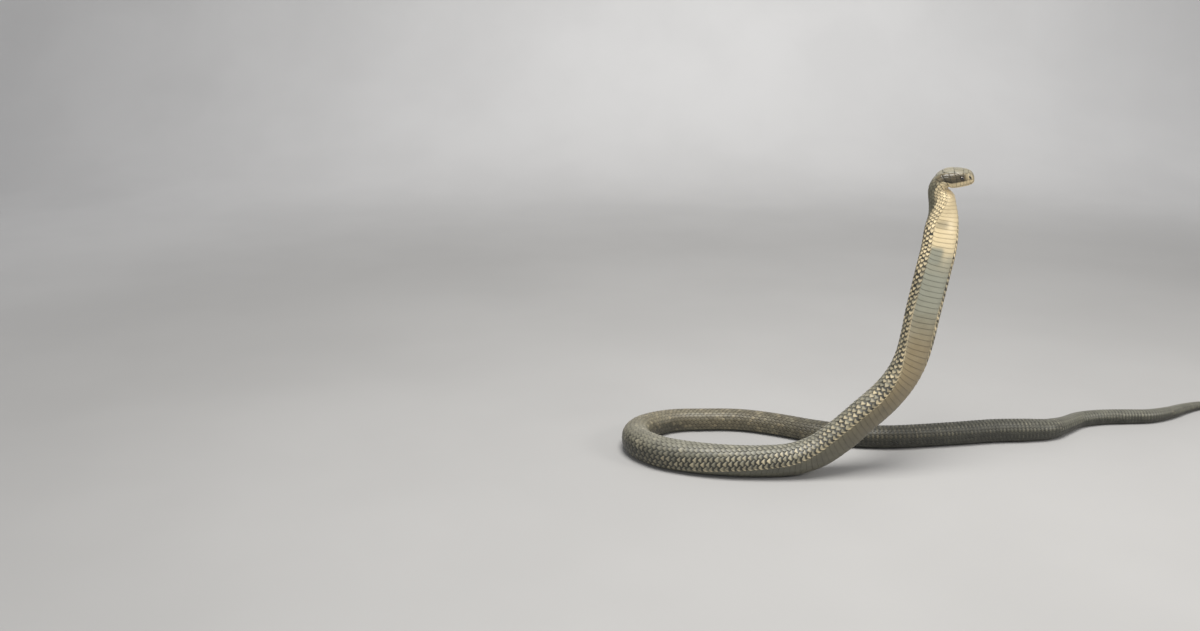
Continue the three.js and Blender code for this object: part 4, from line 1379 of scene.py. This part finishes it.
def round_outline(corners, count):
    """Evenly spaced points round a closed outline whose corners are cut round"""
    corners = np.array(corners, float)
    line = []
    for i, corner in enumerate(corners):
        before, after = corners[i - 1] - corner, corners[(i + 1) % len(corners)] - corner
        cuts = [min(CORNER_CUT, CORNER_MOST * np.linalg.norm(way)) for way in (before, after)]
        first = corner + before / np.linalg.norm(before) * cuts[0]
        last = corner + after / np.linalg.norm(after) * cuts[1]
        for t in (0, 0.33, 0.67, 1):
            line.append((1 - t) ** 2 * first + 2 * t * (1 - t) * corner + t * t * last)
    line = np.array(line + line[:1])
    travelled = np.append(0, np.cumsum(np.linalg.norm(np.diff(line, axis=0), axis=1)))
    where = np.linspace(0, travelled[-1], count, endpoint=False)
    return np.stack([np.interp(where, travelled, line[:, i]) for i in (0, 1)], axis=1)


def pushed_clear(points, centre, radius):
    """Moves points out of a round opening"""
    off = points - np.array(centre)
    size = np.maximum(np.linalg.norm(off, axis=1, keepdims=True), 1e-6)
    return np.where(size < radius, np.array(centre) + off / size * radius, points)


# A place seen from in front is found on the skin by halving this reach back from the snout, and the
# way the skin faces there from small steps across and up
FRONT_REACH = 24.0
FRONT_STEP = 0.05
HALVINGS = 30


def front_place(spot):
    """Distance and angle of the skin's point at places seen from in front"""
    across, height = spot[:, 0], spot[:, 1]
    near, far = np.full(len(spot), 0.01), np.full(len(spot), FRONT_REACH)
    for _ in range(HALVINGS):
        d = (near + far) / 2
        middle = read(HEAD_TABLE, 1, d)
        up = height - middle
        rise = np.where(up > 0, read(GIRTH_TABLE, 2, d) - middle, middle + read(GIRTH_TABLE, 3, d))
        roundness = np.where(up > 0, CROWN_ROUNDNESS, JAW_ROUNDNESS)
        wide = (np.abs(across) / read(GIRTH_TABLE, 1, d)) ** (roundness / 2)
        tall = (np.abs(up) / rise) ** (roundness / 2)
        inside = wide**2 + tall**2 < 1
        near, far = np.where(inside, near, d), np.where(inside, d, far)
    return d, np.degrees(np.arctan2(np.sign(across) * wide, np.sign(up) * tall))


def share_at(d, degrees):
    """The share of the way round at an angle"""
    rows = np.clip((d / ARC_PITCH).astype(int), 0, len(ARC_DISTANCES) - 1)
    shares = [np.interp(abs(angle), SHARE_ANGLES[row], ARC_SHARES) for row, angle in zip(rows, degrees)]
    return np.sign(degrees) * shares


def front_points(spot, lift):
    """Points of a shield seen from in front, raised squarely off the skin"""
    on_skin = [skin_point(*front_place(spot + np.array(step))) for step in
               ((0, 0), (FRONT_STEP, 0), (0, FRONT_STEP))]
    outwards = unit(np.cross(on_skin[1] - on_skin[0], on_skin[2] - on_skin[0]))
    return (on_skin[0] + outwards * lift[:, None]) * MM


def shield_rim(outline, from_front):
    """A shield's rounded rim, run the way that turns its face outwards, clear of eye and nostril"""
    rim = round_outline(outline, SHIELD_RIM)
    area = 0.5 * np.sum(rim[:, 0] * np.roll(rim[:, 1], -1) - rim[:, 1] * np.roll(rim[:, 0], -1))
    span = math.sqrt(abs(area))
    middle = rim.mean(axis=0)
    rim = middle + (rim - middle) * (1 + 2 * SHIELD_GROWTH / span)
    if (area > 0) != from_front:
        rim = rim[::-1]
    if not from_front:
        for side in (1, -1):
            rim = pushed_clear(rim, eye_place(side), eye_opening())
            rim = pushed_clear(rim, nostril_place(side), NOSTRIL_RADIUS + NOSTRIL_CLEAR)
    return rim, span


def place_shields(shields, draw, rise):
    """Domed plates from outlines, each with whether it is seen from in front"""
    radius, number, top, faces = disc_template(SHIELD_RIM, SHIELD_RINGS)
    parts = []
    for outline, from_front in shields:
        rim, span = shield_rim(outline, from_front)
        middle = rim.mean(axis=0)
        spot = middle + (rim[number] - middle) * radius[:, None]
        dome = min(DOME_SHARE * span, DOME_MOST) * (1 - radius**2) - RIM_DROP * smooth(radius, 0.9, 1.0)
        lift = np.where(top > 0.5, rise + dome + draw.normal(0, 0.03), SHIELD_ROOT)
        if from_front:
            d, degrees = front_place(spot)
            share = share_at(d, degrees)
            places = front_points(spot, lift)
        else:
            d = spot[:, 0]
            share = spot[:, 1] / half_girth(d)
            places = on_body(d, share, lift)
        along = 0.62 + 0.3 * (d - d.min()) / (np.ptp(d) + 1e-6)
        tint = np.clip(draw.normal(0.5, 0.2), 0, 1)
        plate = plate_values(d.shape, along, smooth(radius, 0.55, 1.0), tint)
        parts.append((places, head_unwrap(d, folded(share)), plate, markings(d, share)))
    places, uv, plate, marks = (np.stack([part[i] for part in parts]) for i in range(4))
    return places, faces, uv, plate, marks


def build_head_shields():
    """Every shield of the head as one piece"""
    sizes = bpy.context.scene.cobra_sizes
    draw = np.random.default_rng(sizes.seed + 2)
    shields = [(FRONTAL, False), (ROSTRAL, True), (MENTAL, True), (FIRST_JAW, True)]
    shields.append(([(-across, height) for across, height in FIRST_JAW], True))
    for outline in side_shields():
        shields.append((outline, False))
        shields.append(([(d, -around) for d, around in outline], False))
    made = place_shields(shields, draw, sizes.shield_rise / MM)
    piece = joined_copies("head_shields", *made)
    finished(piece, "cobra_head_shields")


# Small throat scales between the lower lips, the chin shields and the first belly scutes
# Row length, lane width and reach, and a scale's size as a multiple of them and its rise
THROAT_PITCH = 5.4
THROAT_LANE = 4.6
THROAT_RANGE = (17.5, 72)
THROAT_WIDTH = 1.2
THROAT_OVERLAP = 1.45
THROAT_RISE = 0.5
# Roots under this share have a mirrored one across the chin's midline
CHIN_MIDLINE = 0.999
# Millimetres before and beside the first belly scutes from which the small scales leave room for them
SCUTE_ROOM = (4, 1)
# Where the small scales begin: under the lower lips, behind the mouth's end and beside the chin
MOUTH_END = 60
THROAT_TOP = [(16, 11.4), (26, 11.6), (34, 11.8), (43, 11.8), (52, 11.2), (60, 9.6)]
CHEEK_TOP = [(60, 62), (62, 45), (66, 43), (70, 40), (74, 37.6)]
CHIN_EDGE = [(17, 14.2), (20, 12.8), (23, 11.6), (25, 10.2), (34, 9.6), (38, 5.5), (40, 0)]


def throat_roots():
    """Distance, share and half width of the small scales of one side"""
    roots = []
    rows = int((THROAT_RANGE[1] - THROAT_RANGE[0]) / THROAT_PITCH * 2)
    for row in range(rows):
        d = THROAT_RANGE[0] + row * THROAT_PITCH / 2
        whole = float(half_girth(d))
        top = float(mouth_arc(d) + level(THROAT_TOP, d) if d < MOUTH_END else level(CHEEK_TOP, d))
        lanes = max(round((whole - top) / THROAT_LANE), 1)
        lane = (whole - top) / lanes
        shift = 0.5 * (row % 2)
        for off in (np.arange(lanes + 1 - row % 2) + shift) * lane:
            beside = float(level(VENTRAL_WIDTH, d)) + SCUTE_ROOM[1]
            in_scutes = d > SCUTE_START - SCUTE_ROOM[0] and off < beside
            if off >= float(level(CHIN_EDGE, d)) and not in_scutes:
                roots.append((d, 1 - off / whole, lane / 2))
    return np.array(roots)


def build_throat_scales():
    """Small plates like the dorsal scales, from the lower lips to the first belly scutes"""
    sizes = bpy.context.scene.cobra_sizes
    draw = np.random.default_rng(sizes.seed + 3)
    template = plate_template("throat_scale", 5, 4)
    left = throat_roots()
    off_midline = left[:, 1] < CHIN_MIDLINE
    spots = np.concatenate([left, mirrored(left[off_midline])])
    half = spots[:, 2] * THROAT_WIDTH * draw.normal(1, 0.04, len(spots))
    length = THROAT_PITCH * THROAT_OVERLAP * draw.normal(1, 0.04, len(spots))
    tint = np.clip(draw.normal(0.5, 0.2, len(spots)), 0, 1)
    roots = np.stack([spots[:, 0], spots[:, 1], half, length, tint, 0 * tint], axis=1)
    places, faces, uv, plate, d = place_scales(roots, template, draw, THROAT_RISE)
    piece = joined_copies("throat_scales", places, faces, uv, plate, marks_of(spots, d))
    finished(piece, "cobra_ventral_scutes")


# Eyes
EYE_SEGMENTS = 48
EYE_RINGS = 32
# Steps along in millimetres and round in degrees to the skin's points that show which way it faces
EYE_STEPS = [(0, 0), (1, 0), (-1, 0), (0, -2), (0, 2)]
EYE_SWELL = 0.07
SWELL_WIDTH = 0.5
EYE_PATCH = 0.22
LEVEL_OF_EYES = (0.3, 0.2, 1.0)


def eye_frame(node_name):
    """The eye's middle from the frame, and the way it looks out"""
    low, high = (np.array(corner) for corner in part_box(node_name))
    centre = (low + high) / 2
    side = 1 if node_name == "eye_left" else -1
    d, angle = (np.array([EYE_DISTANCE, EYE_ANGLE]) + np.array(EYE_STEPS, float)).T
    surface, ahead, behind, above, below = skin_point(d, side * angle)
    gaze = unit(np.cross(ahead - behind, above - below))
    if np.dot(gaze, surface * MM - centre) < 0:
        gaze = -gaze
    return centre, gaze


def build_eye(node_name):
    """A ball turned to look out, fuller over the pupil, its dark back hidden in the head"""
    centre, gaze = eye_frame(node_name)
    radius = bpy.context.scene.cobra_sizes.eye_radius
    piece = added("cobra_" + node_name, bpy.ops.mesh.primitive_uv_sphere_add,
                  segments=EYE_SEGMENTS, ring_count=EYE_RINGS, radius=radius)
    mesh = piece.data
    places = coordinates(mesh) / radius
    off_axis = np.degrees(np.arccos(np.clip(places[:, 2], -1, 1))) / 90
    turn = np.abs(np.arctan2(places[:, 1], places[:, 0])) / math.pi
    swell = 1 + EYE_SWELL * np.exp(-((off_axis / SWELL_WIDTH) ** 2))
    aside = unit(np.cross(gaze, np.array(LEVEL_OF_EYES)))
    up = np.cross(gaze, aside)
    ball = places * swell[:, None] * radius
    set_places(mesh, centre + ball[:, :1] * aside + ball[:, 1:2] * up + ball[:, 2:] * gaze)
    corners = corner_vertices(mesh)
    flat = places[:, :2] * EYE_PATCH * off_axis[:, None] + 0.5
    set_unwrap(mesh, flat[corners])
    set_attribute(mesh, "gaze", np.stack([off_axis, turn, off_axis * 0, off_axis * 0], axis=1))
    close_piece()
    mesh.shade_smooth()
    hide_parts(node_name)
    finished(piece, "cobra_eye")


# Stage
CAMERA_PLACE = (-0.938, -2.573, 1.06)
CAMERA_PITCH = 15.9076
CAMERA_LENS = 33.0
SENSOR = 36.0
STAGE_WIDTH = 40.0
STAGE_BACK = 5.0
STAGE_FRONT = -18.0
STAGE_HEIGHT = 4.0
STAGE_BEND = 1.6
STAGE_BEND_STEPS = 16
NEAR = 0.01

# Name, place, target, width, power and colour
LIGHTS = [
    ("light_overhead", (-0.5, -0.7, 3.4), (-0.25, -0.05, 0.1), 2.0, 118, (1.0, 0.985, 0.96)),
    ("light_left", (-3.2, -2.8, 2.0), (-0.3, -0.1, 0.4), 2.0, 16, (0.97, 0.98, 1.0)),
    ("light_right", (2.5, -1.5, 1.9), (-0.15, -0.1, 0.4), 1.2, 38, (1.0, 0.97, 0.94)),
    ("light_backdrop", (0.0, 2.6, 3.4), (0.0, 6.2, 1.2), 3.0, 36, (1.0, 1.0, 1.0)),
]
WORLD_COLOUR = (0.95, 0.96, 1.0, 1.0)
WORLD_STRENGTH = 0.27
BACKDROP_SEEN = (0.3, 0.3, 0.3, 1.0)
# Metres from the middle of the stage between which the floor turns paler, out of the lights' reach
FLOOR_PALER = (2.2, 5.0)
CLOUD_SCALE = 1.4
CLOUD_DEPTH = 0.05
GRIT_SCALE = 300.0


def stage_material():
    """Plain pale floor with faint clouds and a fine grain"""
    made, tree, shader = new_material("stage_floor")
    colours = bpy.context.scene.cobra_colours
    place = node(tree, "ShaderNodeTexCoord").outputs["Object"]
    away = node(tree, "ShaderNodeVectorMath", [(0, place)], operation="LENGTH").outputs["Value"]
    colour = mixed(tree, ramped(tree, away, *FLOOR_PALER), rgba(colours.floor), rgba(colours.backdrop))
    clouds = ramped(tree, noise(tree, CLOUD_SCALE, 3.0), *NOISE_SPAN)
    clouds = math_node(tree, "MULTIPLY_ADD", clouds, CLOUD_DEPTH, 1 - CLOUD_DEPTH)
    shade = node(tree, "ShaderNodeCombineColor", [(0, clouds), (1, clouds), (2, clouds)])
    tree.links.new(mixed(tree, 1.0, colour, shade.outputs[0], "MULTIPLY"), shader.inputs["Base Color"])
    grain = node(tree, "ShaderNodeBump", [
        ("Height", noise(tree, GRIT_SCALE, 2.0)), ("Strength", 0.1), ("Distance", 0.0005)])
    tree.links.new(grain.outputs["Normal"], shader.inputs["Normal"])
    shader.inputs["Roughness"].default_value = 0.75
    return made


def edit_foot(mesh):
    """Goes into edit mode with only the edge selected where the floor meets the backdrop"""
    foot = [v.co.y > STAGE_BACK - NEAR and v.co.z < NEAR for v in mesh.vertices]
    for vertex, at_foot in zip(mesh.vertices, foot):
        vertex.select = at_foot
    for edge in mesh.edges:
        edge.select = all(foot[i] for i in edge.vertices)
    for face in mesh.polygons:
        face.select = False
    bpy.ops.object.mode_set(mode="EDIT")
    bpy.ops.mesh.select_mode(type="EDGE")


def build_floor():
    """A pale floor that sweeps up into a backdrop"""
    floor = added("stage_floor", bpy.ops.mesh.primitive_plane_add, size=1,
                  location=(0, (STAGE_BACK + STAGE_FRONT) / 2, 0))
    floor.scale = (STAGE_WIDTH, STAGE_BACK - STAGE_FRONT, 1)
    bpy.ops.object.transform_apply(location=True, rotation=False, scale=True)
    mesh = floor.data
    edit_foot(mesh)
    bpy.ops.mesh.extrude_region_move(TRANSFORM_OT_translate={"value": (0, 0, STAGE_HEIGHT)})
    bpy.ops.object.mode_set(mode="OBJECT")
    edit_foot(mesh)
    bpy.ops.mesh.bevel(offset=STAGE_BEND, segments=STAGE_BEND_STEPS, profile=0.5)
    bpy.ops.object.mode_set(mode="OBJECT")
    mesh.shade_smooth()
    mesh.materials.append(stage_material())


def add_area_light(name, place, target, size, power, colour):
    """A round soft light that faces its target"""
    light = added(name, bpy.ops.object.light_add, type="AREA", location=place)
    light.data.shape = "DISK"
    light.data.size = size
    light.data.energy = power
    light.data.color = colour
    way = np.array(target) - np.array(place)
    flat = math.hypot(way[0], way[1])
    light.rotation_euler = (math.atan2(flat, -way[2]), 0, math.atan2(way[1], way[0]) - math.pi / 2)


def build_world():
    """Soft light from all round, and an even pale backdrop wherever the camera sees past the floor"""
    world = bpy.context.scene.world or bpy.data.worlds.new("stage_world")
    bpy.context.scene.world = world
    world.use_nodes = True
    tree = world.node_tree
    light = tree.nodes["Background"]
    light.inputs["Color"].default_value = WORLD_COLOUR
    light.inputs["Strength"].default_value = WORLD_STRENGTH
    seen = node(tree, "ShaderNodeBackground", [("Color", BACKDROP_SEEN), ("Strength", 1.0)])
    camera_ray = node(tree, "ShaderNodeLightPath").outputs["Is Camera Ray"]
    mix = node(tree, "ShaderNodeMixShader", [(0, camera_ray), (1, light.outputs[0]), (2, seen.outputs[0])])
    tree.links.new(mix.outputs[0], tree.nodes["World Output"].inputs["Surface"])


def build_stage():
    """Floor, lights, world and camera"""
    build_floor()
    for settings in LIGHTS:
        add_area_light(*settings)
    build_world()
    camera = added("stage_camera", bpy.ops.object.camera_add, location=CAMERA_PLACE)
    camera.rotation_euler = (math.radians(90 - CAMERA_PITCH), 0, 0)
    camera.data.sensor_width = SENSOR
    camera.data.lens = CAMERA_LENS
    camera.data.dof.use_dof = False
    bpy.context.scene.camera = camera
    bpy.context.scene.view_settings.view_transform = "Standard"


# Settings
class CobraSizes(bpy.types.PropertyGroup):
    """Sizes that a user may change"""

    skin_depth: FloatProperty(
        name="Skin Depth", description="How far the bare skin lies below the scales' faces",
        default=0.0012, min=0.0002, max=0.003, unit="LENGTH")
    scale_overlap: FloatProperty(
        name="Scale Overlap", description="Length of a scale as a multiple of the row pitch",
        default=1.5, min=1.0, max=2.0)
    scale_width: FloatProperty(
        name="Scale Width", description="Width of a scale as a multiple of its lane",
        default=1.3, min=0.7, max=1.6)
    scale_rise: FloatProperty(
        name="Scale Rise", description="How far a dorsal scale's tip stands above the body's surface",
        default=0.0005, min=0.0, max=0.002, unit="LENGTH")
    scute_rise: FloatProperty(
        name="Scute Rise", description="How far a belly scute's rear edge stands above the surface",
        default=0.00022, min=0.0, max=0.002, unit="LENGTH")
    shield_rise: FloatProperty(
        name="Shield Rise", description="How far the head shields stand above the surface",
        default=0.0006, min=0.0, max=0.002, unit="LENGTH")
    eye_radius: FloatProperty(
        name="Eye Radius", description="Radius of the eyeball",
        default=0.0054, min=0.003, max=0.008, unit="LENGTH")
    pupil: FloatProperty(
        name="Pupil", description="Half opening of the round pupil, as a share of a right angle",
        default=0.33, min=0.1, max=0.6)
    seed: IntProperty(
        name="Seed", description="Seed of the small differences between scales", default=11, min=0)


def colour_property(name, description, default):
    return FloatVectorProperty(
        name=name, description=description, default=default, min=0.0, max=1.0, subtype="COLOR")


class CobraColours(bpy.types.PropertyGroup):
    """Colours that a user may change"""

    olive: colour_property("Olive", "Back and crown", (0.165, 0.155, 0.105))
    # Pale also paints the sheen on the crown
    pale: colour_property("Pale", "Throat, lips and light flecks", (0.84, 0.69, 0.42))
    warm: colour_property("Warm", "Tan of the lower throat", (0.32, 0.235, 0.12))
    slate: colour_property("Slate", "Grey-green of the belly", (0.33, 0.335, 0.265))
    # Dark also paints the shade under the belly and the shadow over the hind body
    dark: colour_property("Dark", "Darkest scales of the hind body", (0.04, 0.04, 0.03))
    between: colour_property("Between", "Skin between the scales", (0.022, 0.02, 0.016))
    # The dust colour also paints the sheen of light from above on what faces up
    dust_and_sheen: colour_property("Dust", "Dry dust on what faces up", (0.44, 0.43, 0.37))
    iris: colour_property("Iris", "Light streaks of the iris", (0.10, 0.055, 0.02))
    iris_deep: colour_property("Deep Iris", "Dark of the iris", (0.02, 0.011, 0.006))
    floor: colour_property("Floor", "Stage floor", (0.47, 0.465, 0.455))
    backdrop: colour_property("Backdrop", "Stage floor far away", (0.85, 0.845, 0.835))


# Operators
class CobraSkin(bpy.types.Operator):
    """One skin from snout to tail tip, with the mouth line, nostrils and eye sockets"""

    bl_idname = "cobra.skin"
    bl_label = "Skin"

    def execute(self, context):
        build_skin()
        return {"FINISHED"}


class CobraDorsalScales(bpy.types.Operator):
    """Overlapping smooth scales over the back and flanks"""

    bl_idname = "cobra.dorsal_scales"
    bl_label = "Dorsal Scales"

    def execute(self, context):
        build_dorsal_scales()
        return {"FINISHED"}


class CobraBellyScutes(bpy.types.Operator):
    """Wide belly scutes, and the scutes under the tail"""

    bl_idname = "cobra.belly_scutes"
    bl_label = "Belly Scutes"

    def execute(self, context):
        build_belly_scutes()
        return {"FINISHED"}


class CobraHeadShields(bpy.types.Operator):
    """Large shields of the crown, lips, cheeks and chin"""

    bl_idname = "cobra.head_shields"
    bl_label = "Head Shields"

    def execute(self, context):
        build_head_shields()
        return {"FINISHED"}


class CobraThroatScales(bpy.types.Operator):
    """Small scales under the jaw and behind the mouth's corner"""

    bl_idname = "cobra.throat_scales"
    bl_label = "Throat Scales"

    def execute(self, context):
        build_throat_scales()
        return {"FINISHED"}


class CobraEyes(bpy.types.Operator):
    """Both eyes, with a round pupil and a dark bronze iris"""

    bl_idname = "cobra.eyes"
    bl_label = "Eyes"

    def execute(self, context):
        for node_name in ("eye_left", "eye_right"):
            build_eye(node_name)
        return {"FINISHED"}


class CobraStage(bpy.types.Operator):
    """Pale floor, soft lights and the camera"""

    bl_idname = "cobra.stage"
    bl_label = "Stage"

    def execute(self, context):
        build_stage()
        return {"FINISHED"}


class CobraPanel(bpy.types.Panel):
    """The pieces of the king cobra, in the order they are made"""

    bl_idname = "VIEW3D_PT_cobra"
    bl_label = "King Cobra"
    bl_space_type = "VIEW_3D"
    bl_region_type = "UI"
    bl_category = "King Cobra"

    def draw(self, context):
        for group in (context.scene.cobra_sizes, context.scene.cobra_colours):
            for key in group.__annotations__:
                self.layout.prop(group, key)
        for operator in OPERATORS:
            self.layout.operator(operator.bl_idname)


OPERATORS = [CobraSkin, CobraDorsalScales, CobraBellyScutes, CobraHeadShields, CobraThroatScales,
             CobraEyes, CobraStage]
CLASSES = [CobraSizes, CobraColours, *OPERATORS, CobraPanel]


def register():
    for item in CLASSES:
        bpy.utils.register_class(item)
    bpy.types.Scene.cobra_sizes = PointerProperty(type=CobraSizes)
    bpy.types.Scene.cobra_colours = PointerProperty(type=CobraColours)


def unregister():
    del bpy.types.Scene.cobra_colours
    del bpy.types.Scene.cobra_sizes
    for item in reversed(CLASSES):
        bpy.utils.unregister_class(item)


def main():
    """Makes every piece"""
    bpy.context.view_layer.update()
    register()
    bpy.ops.cobra.skin()
    bpy.ops.cobra.dorsal_scales()
    bpy.ops.cobra.belly_scutes()
    bpy.ops.cobra.head_shields()
    bpy.ops.cobra.throat_scales()
    bpy.ops.cobra.eyes()
    bpy.ops.cobra.stage()


if __name__ == "__main__":
    main()
